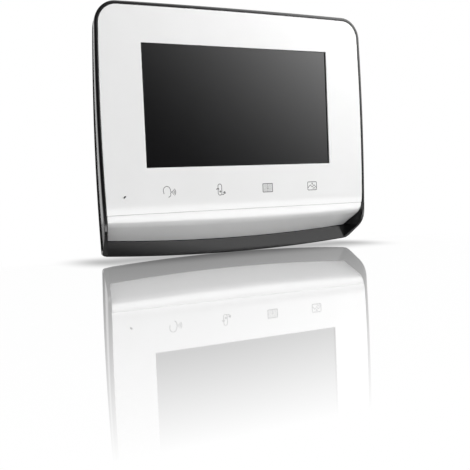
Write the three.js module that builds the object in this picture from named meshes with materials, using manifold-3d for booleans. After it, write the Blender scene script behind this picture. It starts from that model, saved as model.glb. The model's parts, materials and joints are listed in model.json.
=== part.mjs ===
// Wall-mounted video intercom monitor with a 7-inch screen. Millimetres, +Z up.
//
// The origin is on the wall, behind the middle of the screen, and +Y runs into the wall, so the
// front faces -Y. The monitor's pieces are drawn in its own group, where y = 0 is the plane of
// the front plate and y grows towards the wall. The wall bracket is drawn from the wall.

import * as THREE from 'three';
import { mergeVertices } from 'three/addons/utils/BufferGeometryUtils.js';
import Module from 'manifold-3d';

const wasm = await Module();
wasm.setup();

// ---------------------------------------------------------------- driving dimensions

const GAP = 0.3; // kept between neighbouring pieces
const OVERALL_DEPTH = 25; // front plate to wall

const SCREEN = { width: 154.08, height: 85.92 };

const BODY = {
  halfWidth: 111.15,
  widestZ: -15,
  sideBow: 3520, // the side falls back by (z - widestZ)² / sideBow
  topZ: 71,
  topBow: 0.000074,
  bottomZ: -107.4,
  bottomBow: 0.00036,
  topRadius: 16.5,
  bottomRadius: 2.5,
  frontEdge: 0.8, // rounding of the rim's outer edge
  backEdge: 1.2,
  taper: 0.1588, // the top and the sides close in by taper · y ^ taperPower
  taperEase: 0.000364, // taken from the taper for each millimetre down the sides
  taperPower: 1.2,
  wall: 2.9,
  partingY: 21, // the frame ends here and the rear cover begins
  backY: 24.2,
};

const RIM = 2.5; // black rim seen around the white plate
const SEAM_Z = -74.7; // between the plate and the chin

const PLATE = { thickness: 2.8, windowLip: 1.0, bendZ: -67, bendDepth: 0.8 };
const MICROPHONE = { x: -94.3, z: -62.5, portLength: 2.5, portWidth: 1.1, tilt: 33 };
const KEYS = { z: -60, pitch: 40 };

const CHIN = {
  topY: 0.8,
  bendRadius: 10,
  bendAngle: THREE.MathUtils.degToRad(57),
  endY: 18.65, // also the plane of the black lower band
  edgeZ: -96.25, // lower edge at the middle
  edgeBow: 0.00036,
  sideX: 107.8, // its ends lie on planes x = sideX - sideSlope · y
  sideSlope: 0.327,
  thickness: 1.8,
  draft: 0.5, // its ends lean in behind the face
};

// The front edge of the black cheeks runs like the chin, lower down: a bend, then a slope.
const CHEEK = {
  topZ: -80.8,
  bendRadius: 16.25,
  bendAngle: THREE.MathUtils.degToRad(53.5),
  endZ: -102.8,
};

const LEDGE = { inset: 12, y: [3.1, 5.3] };
const RAIL = { x: 104.5, z: [-76.5, -68.5] };

const LCD = { width: 165, height: 100, y: [3.1, 8.8], wall: 0.7 };
const GLASS = { width: 159.4, height: 91.4, y: [1.3, 2.8] };

const CHASSIS = { x: 103.8, z: [-52, 57], y: [9.3, 10.8], footX: 101.5, footZ: [-35, 25] };
const BOARD = { x: [-62, 97], z: [-42, 48], y: [12.8, 14.4] };
const PARTS_Y = BOARD.y[1] + GAP; // board components stand here

const COVER_SCREWS = [[-95, 56], [95, 56], [-97.5, -72.5], [97.5, -72.5]];
const BOARD_SCREWS = [[-57, -37], [-57, 43], [86, -37], [86, 43]];
const BOSS_RADIUS = 3.4;

const SPEAKER = { x: 74, z: -62, radius: 18 };

const TERMINAL = { x: 16, z: [-40, -27], y: [PARTS_Y, 22], pitch: 7.5, tabTravel: 1.2 };

const CARD = { z: 10, y: 15.7, length: 15, width: 11, thickness: 0.8, endX: 106.5 };
const SWITCH = { z: 29, y: 16.6, travel: 3 };
const RESET = { z: -8, y: 16.6, radius: 1.5, travel: 0.6, endX: 107.6 };

const BRACKET = {
  x: 62,
  z: [-56, 44],
  thickness: 1.2,
  corner: 4,
  lift: 8, // the monitor is lifted this far to leave the hooks
  hookX: 50,
  hookZ: [22, -38], // underside of each pair of hooks
  hookWidth: 12,
  lipHeight: 6.5,
  lipY: 20.1, // front of the lip, in the monitor's depth
};
const RECESS = { x: 72, z: [-70, 50], y: 23.4 };
const COVER_FLOOR_Y = 21.6;

// ---------------------------------------------------------------- shape helpers

const X_AXIS = new THREE.Vector3(1, 0, 0);
const Y_AXIS = new THREE.Vector3(0, 1, 0);
const Z_AXIS = new THREE.Vector3(0, 0, 1);

// An outline is drawn as (x, z) and extruded along -Y, or as (y, z) and extruded along X.
const EXTRUDE_Y = new THREE.Matrix4().makeBasis(X_AXIS, Z_AXIS, Y_AXIS.clone().negate());
const EXTRUDE_X = new THREE.Matrix4().makeBasis(Y_AXIS, Z_AXIS, X_AXIS);

function toSolid(geometry) {
  const bare = geometry.index ? geometry : geometry.clone();
  bare.deleteAttribute('normal');
  bare.deleteAttribute('uv');
  const merged = mergeVertices(bare);
  return new wasm.Manifold(new wasm.Mesh({
    numProp: 3,
    vertProperties: new Float32Array(merged.attributes.position.array),
    triVerts: new Uint32Array(merged.index.array),
  }));
}

function toGeometry(solid) {
  const mesh = solid.getMesh();
  const geometry = new THREE.BufferGeometry();
  geometry.setAttribute('position', new THREE.BufferAttribute(mesh.vertProperties, 3));
  geometry.setIndex(new THREE.BufferAttribute(mesh.triVerts, 1));
  geometry.computeVertexNormals();
  return geometry;
}

function cut(solid, ...tools) {
  return tools.reduce((rest, tool) => rest.subtract(tool), solid);
}

function join(...solids) {
  return solids.reduce((whole, solid) => whole.add(solid));
}

function box([x0, x1], [y0, y1], [z0, z1]) {
  const geometry = new THREE.BoxGeometry(x1 - x0, y1 - y0, z1 - z0);
  geometry.translate((x0 + x1) / 2, (y0 + y1) / 2, (z0 + z1) / 2);
  return toSolid(geometry);
}

// A box centred on x and z.
function block(x, z, width, height, ys) {
  return box([x - width / 2, x + width / 2], ys, [z - height / 2, z + height / 2]);
}

function prism(points, depth, matrix, shift) {
  const shape = new THREE.Shape(points);
  const geometry = new THREE.ExtrudeGeometry(shape, { depth, bevelEnabled: false });
  if (matrix) geometry.applyMatrix4(matrix);
  geometry.translate(shift.x, shift.y, shift.z);
  return toSolid(geometry);
}

// An (x, z) outline between two depths.
function slab(points, [y0, y1]) {
  return prism(points, y1 - y0, EXTRUDE_Y, new THREE.Vector3(0, y1, 0));
}

// A (y, z) outline between two values of x.
function beam(points, [x0, x1]) {
  return prism(points, x1 - x0, EXTRUDE_X, new THREE.Vector3(x0, 0, 0));
}

// An (x, y) outline between two heights.
function column(points, [z0, z1]) {
  return prism(points, z1 - z0, null, new THREE.Vector3(0, 0, z0));
}

function pinY(x, z, radius, [y0, y1], segments = 16) {
  const geometry = new THREE.CylinderGeometry(radius, radius, y1 - y0, segments);
  geometry.translate(x, (y0 + y1) / 2, z);
  return toSolid(geometry);
}

function pinX([x0, x1], y, z, radius, segments = 16) {
  const geometry = new THREE.CylinderGeometry(radius, radius, x1 - x0, segments);
  geometry.rotateZ(Math.PI / 2);
  geometry.translate((x0 + x1) / 2, y, z);
  return toSolid(geometry);
}

// A turned piece about the line along Y through (x, z); the profile is radius and depth.
function turned(x, z, profile, segments = 16) {
  const points = profile.map(([radius, y]) => new THREE.Vector2(radius, y));
  const geometry = new THREE.LatheGeometry(points, segments);
  geometry.translate(x, 0, z);
  return toSolid(geometry);
}

function roundedRect(x, z, width, height, radius, steps = 4) {
  const points = [];
  for (const [sx, sz, start] of [[1, -1, -90], [1, 1, 0], [-1, 1, 90], [-1, -1, 180]]) {
    for (let i = 0; i <= steps; i++) {
      const angle = THREE.MathUtils.degToRad(start + 90 * i / steps);
      points.push(new THREE.Vector2(
        x + sx * (width / 2 - radius) + radius * Math.cos(angle),
        z + sz * (height / 2 - radius) + radius * Math.sin(angle),
      ));
    }
  }
  return points;
}

// A solid through sections of equally many points, each { y, outline } with the outline
// anticlockwise as (x, z).
function loft(sections) {
  const count = sections[0].outline.length;
  const last = count * (sections.length - 1);
  const positions = sections.flatMap(({ y, outline }) => outline.flatMap((p) => [p.x, y, p.y]));
  const index = [];
  for (let row = 0; row < last; row += count) {
    for (let i = 0; i < count; i++) {
      const a = row + i;
      const b = row + (i + 1) % count;
      index.push(a, b + count, b, a, a + count, b + count);
    }
  }
  for (const [a, b, c] of THREE.ShapeUtils.triangulateShape(sections[0].outline, [])) {
    index.push(a, b, c);
  }
  for (const [a, b, c] of THREE.ShapeUtils.triangulateShape(sections.at(-1).outline, [])) {
    index.push(last + a, last + c, last + b);
  }
  const geometry = new THREE.BufferGeometry();
  geometry.setAttribute('position', new THREE.Float32BufferAttribute(positions, 3));
  geometry.setIndex(index);
  return toSolid(geometry);
}

// ---------------------------------------------------------------- the housing's outline

const sideAt = (z, inset) => BODY.halfWidth - (z - BODY.widestZ) ** 2 / BODY.sideBow - inset;
const topAt = (x, inset) => BODY.topZ - BODY.topBow * x * x - inset;
const bottomAt = (x) => BODY.bottomZ + BODY.bottomBow * x * x;
const taperAt = (y, z) => (BODY.taper - BODY.taperEase * (BODY.topZ - z)) * y ** BODY.taperPower;
const chinEdgeAt = (x) => CHIN.edgeZ + CHIN.edgeBow * x * x;
const chinSideAt = (y) => CHIN.sideX - CHIN.sideSlope * y;

// The arc that rounds the corner between the side, x = side(z), and the top (up = 1) or
// bottom (up = -1), z = edge(x), from the side to the edge.
function cornerArc(side, edge, radius, up, steps) {
  const slope = (curve, at) => curve(at + 0.5) - curve(at - 0.5);
  const centre = new THREE.Vector2(side(edge(0)) - radius, edge(0) - up * radius);
  let start = 0;
  let end = Math.PI / 2;
  for (let pass = 0; pass < 12; pass++) {
    const z = centre.y + up * radius * Math.sin(start);
    const x = centre.x + radius * Math.cos(end);
    start = Math.atan(-slope(side, z) * up);
    end = Math.PI / 2 - Math.atan(-slope(edge, x) * up);
    centre.x = side(z) - radius * Math.cos(start);
    centre.y = edge(x) - up * radius * Math.sin(end);
  }
  return Array.from({ length: steps + 1 }, (_, i) => {
    const angle = start + (end - start) * i / steps;
    return new THREE.Vector2(
      centre.x + radius * Math.cos(angle),
      centre.y + up * radius * Math.sin(angle),
    );
  });
}

function between(from, to, steps) {
  return Array.from({ length: steps - 1 }, (_, i) => from + (to - from) * (i + 1) / steps);
}

// The housing's closed outline at depth y, anticlockwise as (x, z), moved in from the sides and top.
function bodyOutline(y, inset, bottom = bottomAt, bottomRadius = BODY.bottomRadius) {
  const side = (z) => sideAt(z, taperAt(y, z) + inset);
  const topInset = taperAt(y, BODY.topZ) + inset;
  const top = (x) => topAt(x, topInset);
  const upper = cornerArc(side, top, Math.max(BODY.topRadius - topInset, 2), 1, 7);
  const lower = cornerArc(side, bottom, bottomRadius, -1, 3).reverse();
  const right = [
    ...between(0, lower[0].x, 6).map((x) => new THREE.Vector2(x, bottom(x))),
    ...lower,
    ...between(lower.at(-1).y, upper[0].y, 8).map((z) => new THREE.Vector2(side(z), z)),
    ...upper,
    ...between(upper.at(-1).x, 0, 4).map((x) => new THREE.Vector2(x, top(x))),
  ];
  const left = right.map((p) => new THREE.Vector2(-p.x, p.y)).reverse();
  return [new THREE.Vector2(0, bottom(0)), ...right, new THREE.Vector2(0, top(0)), ...left];
}

// The outline of what lies on the front above the seam: straight along the bottom.
function plateOutline(inset, bottomZ) {
  const side = (z) => sideAt(z, inset);
  const top = (x) => topAt(x, inset);
  const corner = cornerArc(side, top, BODY.topRadius - inset, 1, 8);
  const right = [
    new THREE.Vector2(side(bottomZ), bottomZ),
    ...between(bottomZ, corner[0].y, 10).map((z) => new THREE.Vector2(side(z), z)),
    ...corner,
    ...between(corner.at(-1).x, 0, 6).map((x) => new THREE.Vector2(x, top(x))),
  ];
  const left = right.map((p) => new THREE.Vector2(-p.x, p.y)).reverse();
  return [...right, new THREE.Vector2(0, top(0)), ...left];
}

// ---------------------------------------------------------------- white front

function frontPlate() {
  const plate = slab(plateOutline(RIM + GAP / 2, SEAM_Z + GAP / 2), [0, PLATE.thickness]);
  const window = block(0, 0, SCREEN.width, SCREEN.height, [-1, PLATE.thickness + 1]);
  const rebate = block(0, 0, GLASS.width + 2 * GAP, GLASS.height + 2 * GAP,
    [PLATE.windowLip, PLATE.thickness + 1]);
  const port = slab(roundedRect(0, 0, MICROPHONE.portLength, MICROPHONE.portWidth, 0.54, 3),
    [-1, PLATE.thickness + 1]).rotate([0, -MICROPHONE.tilt, 0]).translate([MICROPHONE.x, 0, MICROPHONE.z]);
  return cut(plate, window, rebate, port, plateBend());
}

// Takes the plate's face back, along its lowest millimetres, to meet the chin.
function plateBend() {
  const height = PLATE.bendZ - SEAM_Z;
  const curve = Array.from({ length: 7 }, (_, i) => {
    const drop = i / 6;
    return new THREE.Vector2(PLATE.bendDepth * drop ** 2, PLATE.bendZ - height * drop);
  });
  const front = [new THREE.Vector2(-1, SEAM_Z), new THREE.Vector2(-1, PLATE.bendZ)];
  return beam([...front, ...curve], [-BODY.halfWidth, BODY.halfWidth]);
}

// The chin's section at the sides: a vertical start, a bend and a straight slope. Each point
// carries the direction into the body.
function chinProfile() {
  const points = [];
  const bendSteps = 8;
  const slopeSteps = 3;
  for (let i = 0; i <= bendSteps; i++) {
    const angle = CHIN.bendAngle * i / bendSteps;
    points.push({
      y: CHIN.topY + CHIN.bendRadius * (1 - Math.cos(angle)),
      z: SEAM_Z - GAP / 2 - CHIN.bendRadius * Math.sin(angle),
      inward: new THREE.Vector2(Math.cos(angle), Math.sin(angle)),
    });
  }
  const bendEnd = points.at(-1);
  for (let i = 1; i <= slopeSteps; i++) {
    const y = THREE.MathUtils.lerp(bendEnd.y, CHIN.endY - GAP, i / slopeSteps);
    const z = bendEnd.z - (y - bendEnd.y) / Math.tan(CHIN.bendAngle);
    points.push({ y, z, inward: bendEnd.inward });
  }
  return points;
}

// The section is stretched downwards so that its end follows the bowed lower edge.
function chinCover() {
  const profile = chinProfile();
  const columns = 12;
  const startZ = profile[0].z;
  const reach = startZ - profile.at(-1).z;
  const layer = (depth) => profile.flatMap((point) => {
    const y = point.y + depth * point.inward.x;
    const z = point.z + depth * point.inward.y;
    return Array.from({ length: columns + 1 }, (_, i) => {
      const x = (2 * i / columns - 1) * (chinSideAt(y) - GAP / 2 - depth * CHIN.draft);
      const stretch = (startZ - chinEdgeAt(x)) / reach;
      return [x, y, startZ + (z - startZ) * stretch];
    });
  });
  const positions = [...layer(0), ...layer(CHIN.thickness)].flat();
  const rows = profile.length - 1;
  const wide = columns + 1;
  const back = profile.length * wide;
  const index = [];
  const quad = (a, b, c, d) => index.push(a, b, c, a, c, d);
  for (let r = 0; r < rows; r++) {
    for (let c = 0; c < columns; c++) {
      const at = r * wide + c;
      quad(at, at + wide, at + wide + 1, at + 1);
      quad(back + at, back + at + 1, back + at + wide + 1, back + at + wide);
    }
    const leftEnd = r * wide;
    const rightEnd = leftEnd + columns;
    quad(leftEnd, back + leftEnd, back + leftEnd + wide, leftEnd + wide);
    quad(rightEnd, rightEnd + wide, back + rightEnd + wide, back + rightEnd);
  }
  for (let c = 0; c < columns; c++) {
    const low = rows * wide + c;
    quad(c, c + 1, back + c + 1, back + c);
    quad(low, back + low, back + low + 1, low + 1);
  }
  const geometry = new THREE.BufferGeometry();
  geometry.setAttribute('position', new THREE.Float32BufferAttribute(positions, 3));
  geometry.setIndex(index);
  return toSolid(geometry);
}

// ---------------------------------------------------------------- black housing

function frameShell() {
  const rounded = [0, 0.25, BODY.frontEdge].map((y) => {
    const rest = 1 - y / BODY.frontEdge;
    return { y, outline: bodyOutline(y, BODY.frontEdge * rest * rest) };
  });
  const sides = [4, 9, 14, CHIN.endY, BODY.partingY].map((y) => (
    { y, outline: bodyOutline(y, 0) }
  ));
  return loft([...rounded, ...sides]);
}

// The hollow behind the ledge, down to the top of the lower band.
function frameHollow() {
  const floor = (x) => chinEdgeAt(x) - GAP;
  return loft([LEDGE.y[1], 10, 15.5, BODY.partingY + 1].map((y) => (
    { y, outline: bodyOutline(y, BODY.wall, floor, 1) }
  )));
}

function frontFrame() {
  const front = slab(plateOutline(RIM - GAP / 2, SEAM_Z - GAP / 2), [-1, LEDGE.y[0]]);
  const opening = slab(plateOutline(LEDGE.inset, RAIL.z[1]), [LEDGE.y[0] - 1, LEDGE.y[1] + 1]);
  const chinSpace = column([
    new THREE.Vector2(-chinSideAt(-1) - GAP / 2, -1),
    new THREE.Vector2(chinSideAt(-1) + GAP / 2, -1),
    new THREE.Vector2(chinSideAt(CHIN.endY) + GAP / 2, CHIN.endY),
    new THREE.Vector2(-chinSideAt(CHIN.endY) - GAP / 2, CHIN.endY),
  ], [BODY.bottomZ - 1, SEAM_Z]);
  const cheekBend = Array.from({ length: 9 }, (_, i) => {
    const angle = CHEEK.bendAngle * i / 8;
    return new THREE.Vector2(CHEEK.bendRadius * (1 - Math.cos(angle)),
      CHEEK.topZ - CHEEK.bendRadius * Math.sin(angle));
  });
  const belowCheeks = beam([
    new THREE.Vector2(-1, CHEEK.topZ),
    ...cheekBend,
    new THREE.Vector2(CHIN.endY, CHEEK.endZ),
    new THREE.Vector2(CHIN.endY, BODY.bottomZ - 1),
    new THREE.Vector2(-1, BODY.bottomZ - 1),
  ], [-BODY.halfWidth - 1, BODY.halfWidth + 1]);
  const rail = box([-RAIL.x, RAIL.x], LEDGE.y, RAIL.z);
  const bosses = COVER_SCREWS.map(([x, z]) => (
    pinY(x, z, BOSS_RADIUS, [LEDGE.y[0] + 1, BODY.partingY])
  ));
  const shell = join(cut(frameShell(), frameHollow(), front, opening, chinSpace, belowCheeks),
    rail, ...bosses);
  const pilots = COVER_SCREWS.map(([x, z]) => pinY(x, z, 1.7, [10, BODY.partingY + 1], 12));
  const chassisPilots = CHASSIS.footZ.flatMap((z) => [-1, 1].map((side) => (
    pinY(side * CHASSIS.footX, z, 1.4, [LEDGE.y[0] + 0.6, LEDGE.y[1] + 1], 12)
  )));
  const outside = [98, BODY.halfWidth + 1];
  const cardSlot = box(outside, [CARD.y - 0.8, CARD.y + 0.8], [CARD.z - 6.1, CARD.z + 6.1]);
  const switchSlot = box(outside, [SWITCH.y - 1, SWITCH.y + 1],
    [SWITCH.z - 1.7 - GAP - SWITCH.travel, SWITCH.z + 1.7 + GAP]);
  const resetHole = pinX(outside, RESET.y, RESET.z, RESET.radius + 0.35);
  return cut(shell, ...pilots, ...chassisPilots, cardSlot, switchSlot, resetHole);
}

function rearCover() {
  const start = BODY.partingY + GAP;
  const edgeStart = BODY.backY - BODY.backEdge;
  const sections = [start, edgeStart, BODY.backY - BODY.backEdge / 4, BODY.backY].map((y) => {
    const round = Math.max(0, (y - edgeStart) / BODY.backEdge);
    const bottom = (x) => bottomAt(x) + BODY.backEdge * round * round;
    return { y, outline: bodyOutline(y, BODY.backEdge * round * round, bottom) };
  });
  const tongueInset = BODY.wall + GAP;
  const tongueBottom = (x) => chinEdgeAt(x) + 4;
  const tongue = (inset, low, ys) => loft(ys.map((y) => (
    { y, outline: bodyOutline(BODY.partingY, inset, (x) => tongueBottom(x) + low, 1) }
  )));
  const ring = cut(tongue(tongueInset, 0, [19.5, start + 0.2]),
    tongue(tongueInset + 1.4, 1.4, [19, start + 0.1]));
  const hollow = loft([start - 0.2, COVER_FLOOR_Y].map((y) => (
    { y, outline: bodyOutline(BODY.partingY, tongueInset + 1.4, (x) => tongueBottom(x) + 1.4, 1) }
  )));
  const recess = slab(roundedRect(0, (RECESS.z[0] + RECESS.z[1]) / 2, 2 * RECESS.x,
    RECESS.z[1] - RECESS.z[0], 5), [RECESS.y, BODY.backY + 1]);
  const cover = cut(join(loft(sections), ring), hollow, recess);
  const through = [COVER_FLOOR_Y - 1, BODY.backY + 1];
  const screwHoles = COVER_SCREWS.flatMap(([x, z]) => [
    pinY(x, z, BOSS_RADIUS + 0.5, [17, COVER_FLOOR_Y]),
    pinY(x, z, 1.8, [17, BODY.backY + 1], 12),
    pinY(x, z, 3.2, [22.6, BODY.backY + 1]),
  ]);
  const hookSlots = BRACKET.hookZ.flatMap((z) => [-1, 1].map((side) => (
    box([side * BRACKET.hookX - 6.6, side * BRACKET.hookX + 6.6], through,
      [z - BRACKET.lift - 0.4, z + BRACKET.thickness + GAP])
  )));
  const wiring = block(0, (TERMINAL.z[0] + TERMINAL.z[1]) / 2, 2 * TERMINAL.x + 8, 24, through);
  const speakerSlots = Array.from({ length: 6 }, (_, i) => {
    const offset = (i - 2.5) * 5;
    const width = 2 * Math.sqrt((SPEAKER.radius - 3) ** 2 - offset ** 2);
    return block(SPEAKER.x, SPEAKER.z + offset, width, 1.8, through);
  });
  const vents = Array.from({ length: 9 }, (_, i) => (
    block((i - 4) * 12, 56, 8, 1.8, through)
  ));
  return cut(cover, ...screwHoles, ...hookSlots, wiring, ...speakerSlots, ...vents);
}

// ---------------------------------------------------------------- display

function displayGlass() {
  return block(0, 0, GLASS.width, GLASS.height, GLASS.y);
}

function lcdBezel() {
  const [front, back] = LCD.y;
  const can = block(0, 0, LCD.width, LCD.height, LCD.y);
  const inside = block(0, 0, LCD.width - 2 * LCD.wall, LCD.height - 2 * LCD.wall,
    [front + LCD.wall, back + 1]);
  const window = block(0, 0, SCREEN.width + 2, SCREEN.height + 2, [front - 1, back + 1]);
  return cut(can, inside, window);
}

const lcdInner = [LCD.width - 2 * LCD.wall - 2 * GAP, LCD.height - 2 * LCD.wall - 2 * GAP];

function lcdCell() {
  return block(0, 0, ...lcdInner, [LCD.y[0] + LCD.wall + GAP, 5.4]);
}

function backlightUnit() {
  const frame = block(0, 0, ...lcdInner, [5.7, LCD.y[1]]);
  const tray = block(0, 0, lcdInner[0] - 6, lcdInner[1] - 6, [8.1, LCD.y[1] + 1]);
  return cut(frame, tray);
}

function innerChassis() {
  const plate = box([-CHASSIS.x, CHASSIS.x], CHASSIS.y, CHASSIS.z);
  const corners = [-1, 1].map((side) => pinY(side * 95, 56, BOSS_RADIUS + 1.2, [5, 12]));
  const rightOfCorners = [-1, 1].map((side) => block(side * 104, 56, 16, 24, [9, 11]));
  const collarY = [5.6, CHASSIS.y[0] + 0.2];
  const collar = cut(block(0, 0, LCD.width + 4.6, LCD.height + 4.6, collarY),
    block(0, 0, LCD.width + 2 * GAP, LCD.height + 2 * GAP, [5, LCD.y[1] + 0.3]),
    block(0, 0, LCD.width - 8, LCD.height - 8, [5, 12]));
  const feetAt = CHASSIS.footZ.flatMap((z) => [[-CHASSIS.footX, z], [CHASSIS.footX, z]]);
  const feet = feetAt.map(([x, z]) => pinY(x, z, 3, [LEDGE.y[1] + GAP, CHASSIS.y[0] + 0.2]));
  const posts = BOARD_SCREWS.map(([x, z]) => (
    pinY(x, z, 2.6, [CHASSIS.y[1] - 0.2, BOARD.y[0] - GAP])
  ));
  const lighteners = [-54, 0, 54].map((x) => block(x, 2, 44, 60, [9, 12]));
  const body = cut(join(plate, collar, ...feet, ...posts), ...corners, ...rightOfCorners,
    ...lighteners);
  return cut(body,
    ...feetAt.map(([x, z]) => pinY(x, z, 1.7, [5, 12], 12)),
    ...BOARD_SCREWS.map(([x, z]) => pinY(x, z, 1.2, [CHASSIS.y[0] - 1, 13], 12)));
}

// ---------------------------------------------------------------- electronics

function mainBoard() {
  const board = box(BOARD.x, BOARD.y, BOARD.z);
  const holes = BOARD_SCREWS.map(([x, z]) => pinY(x, z, 1.6, [12, 15], 12));
  return cut(board, ...holes);
}

function shieldCan() {
  const can = block(-20, 18, 34, 30, [PARTS_Y, 17.6]);
  return cut(can, block(-20, 18, 32.8, 28.8, [PARTS_Y - 1, 17]));
}

function processor() {
  return block(-20, 18, 17, 17, [PARTS_Y, 16.2]);
}

function capacitor(x) {
  return turned(x, -20, [
    [0, PARTS_Y], [3.6, PARTS_Y], [3.6, 19], [3.2, 19.4], [0, 19.4],
  ]);
}

function displayConnector() {
  const body = block(20, 38, 26, 5, [PARTS_Y, 16.6]);
  return cut(body, block(20, 41, 24, 3, [15.1, 15.9]));
}

function touchKeyBoard() {
  return block(0, KEYS.z, 3 * KEYS.pitch + 20, 14, [3.1, 4.1]);
}

// A flat ribbon bent along its length: (y, z) points of its front face, extruded along X.
function ribbon(path, thickness, xs) {
  const front = path.map(([y, z]) => new THREE.Vector2(y, z));
  const back = front.map((point, i) => {
    const before = front[Math.max(i - 1, 0)];
    const after = front[Math.min(i + 1, front.length - 1)];
    const along = after.clone().sub(before).normalize();
    return point.clone().add(new THREE.Vector2(-along.y, along.x).multiplyScalar(thickness));
  });
  return beam([...front, ...back.reverse()], xs);
}

function touchRibbon() {
  return ribbon([
    [4.5, -64], [4.5, -58], [5.2, -56.2], [7, -55.2], [12.5, -54], [14.4, -52.4],
    [15.2, -50], [15.2, -43],
  ], 0.25, [24, 34]);
}

function displayRibbon() {
  return ribbon([
    [15.7, 40.2], [15.7, 44], [15.3, 51], [14.5, 53.5], [12.8, 58.6], [9, 58.6],
    [6.4, 55.4], [6.2, 53.2],
  ], 0.25, [9, 31]);
}

function microphoneBoot() {
  const { x, z } = MICROPHONE;
  return turned(x, z, [
    [1.2, 3.1], [3.8, 3.1], [3.8, 8], [3.1, 8], [3.1, 4.4], [1.2, 4.4], [1.2, 3.1],
  ]);
}

function microphone() {
  return turned(MICROPHONE.x, MICROPHONE.z, [[0, 4.7], [2.8, 4.7], [2.8, 7.4], [0, 7.4]]);
}

function speakerBasket() {
  const r = SPEAKER.radius;
  return turned(SPEAKER.x, SPEAKER.z, [
    [10.6, 14], [12, 14], [r - 2.4, 18.6], [r, 18.6], [r, 20],
    [r - 3, 20], [r - 3.4, 19.3], [11.4, 15.4], [10.6, 15.4], [10.6, 14],
  ], 24);
}

function speakerMagnet() {
  return turned(SPEAKER.x, SPEAKER.z, [
    [0, 11.1], [10, 11.1], [10.3, 11.4], [10.3, 13.7], [0, 13.7],
  ], 24);
}

function speakerCone() {
  const r = SPEAKER.radius;
  return turned(SPEAKER.x, SPEAKER.z, [
    [0, 15.6], [4, 16.2], [7.4, 16.4], [r - 3.9, 19.9], [r - 3.9, 20.2],
    [7.2, 17], [4, 17.4], [0, 18.2],
  ], 24);
}

function speakerGasket() {
  const r = SPEAKER.radius;
  return turned(SPEAKER.x, SPEAKER.z, [
    [r - 2.8, 20.3], [r, 20.3], [r, 21.3], [r - 2.8, 21.3], [r - 2.8, 20.3],
  ], 24);
}

// ---------------------------------------------------------------- wiring terminals

const tabX = (i) => (i - 1.5) * TERMINAL.pitch;
const TAB = { width: 4.6, z: [-32, -28.2], y: [19.6, 22.9] };

function terminalBlock() {
  const { x, z, y } = TERMINAL;
  const pockets = [];
  for (let i = 0; i < 4; i++) {
    const centre = tabX(i);
    const half = TAB.width / 2 + GAP;
    pockets.push(
      box([centre - half, centre + half], [TAB.y[0] - TERMINAL.tabTravel - GAP, y[1] + 1],
        [TAB.z[0] - GAP, TAB.z[1] + GAP]),
      pinY(centre, -36, 1.7, [16.5, y[1] + 1], 12),
    );
  }
  return cut(box([-x, x], y, z), ...pockets);
}

function terminalTab(i) {
  const centre = tabX(i);
  const [low, high] = TAB.z;
  const [front, back] = TAB.y;
  return beam([
    new THREE.Vector2(front, low), new THREE.Vector2(back - 0.6, low),
    new THREE.Vector2(back, low + 0.8), new THREE.Vector2(back, high - 0.8),
    new THREE.Vector2(back - 0.6, high), new THREE.Vector2(front, high),
  ], [centre - TAB.width / 2, centre + TAB.width / 2]);
}

// ---------------------------------------------------------------- controls on the right side

function cardSocket() {
  const shell = box([88, 100.5], [PARTS_Y, 16.9], [CARD.z - 7, CARD.z + 7]);
  const slot = box([89.6, 101], [CARD.y - 0.75, CARD.y + 0.75],
    [CARD.z - CARD.width / 2 - 0.4, CARD.z + CARD.width / 2 + 0.4]);
  return cut(shell, slot);
}

function memoryCard() {
  const start = CARD.endX - CARD.length;
  const low = CARD.z - CARD.width / 2;
  const high = CARD.z + CARD.width / 2;
  return slab([
    new THREE.Vector2(start, low), new THREE.Vector2(CARD.endX, low),
    new THREE.Vector2(CARD.endX, high), new THREE.Vector2(start + 6, high),
    new THREE.Vector2(start + 4.6, high - 1.2), new THREE.Vector2(start, high - 1.2),
  ], [CARD.y - CARD.thickness / 2, CARD.y + CARD.thickness / 2]);
}

function switchBody() {
  const body = block(94, SWITCH.z - SWITCH.travel / 2, 7, 12, [PARTS_Y, 18.6]);
  const slot = block(97, SWITCH.z - SWITCH.travel / 2, 6, 8, [SWITCH.y - 1, SWITCH.y + 1]);
  return cut(body, slot);
}

function powerSwitch() {
  const stem = box([95, 107.4], [SWITCH.y - 0.7, SWITCH.y + 0.7], [SWITCH.z - 1.7, SWITCH.z + 1.7]);
  const cap = box([107.25, 108.2], [SWITCH.y - 1.5, SWITCH.y + 1.5], [SWITCH.z - 2.5, SWITCH.z + 2.5]);
  const grip = box([107.8, 109], [SWITCH.y - 1.2, SWITCH.y + 1.2], [SWITCH.z - 0.7, SWITCH.z + 0.7]);
  return join(stem, cap, grip);
}

function resetSwitch() {
  return block(94.5, RESET.z, 6, 6, [PARTS_Y, 18.4]);
}

function resetButton() {
  return join(
    pinX([98.5, RESET.endX], RESET.y, RESET.z, RESET.radius),
    pinX([101.6, 102.8], RESET.y, RESET.z, RESET.radius + 0.9),
  );
}

// ---------------------------------------------------------------- fasteners

// A pan-head screw seen from the back, with its head at the wall side.
function screw([x, z], headY, headRadius, shaftRadius, tipY) {
  return turned(x, z, [
    [0, tipY], [shaftRadius, tipY + 1], [shaftRadius, headY], [headRadius, headY],
    [headRadius, headY + 0.7], [headRadius - 0.9, headY + 1.2], [0, headY + 1.2],
  ], 12);
}

// ---------------------------------------------------------------- wall bracket

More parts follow.
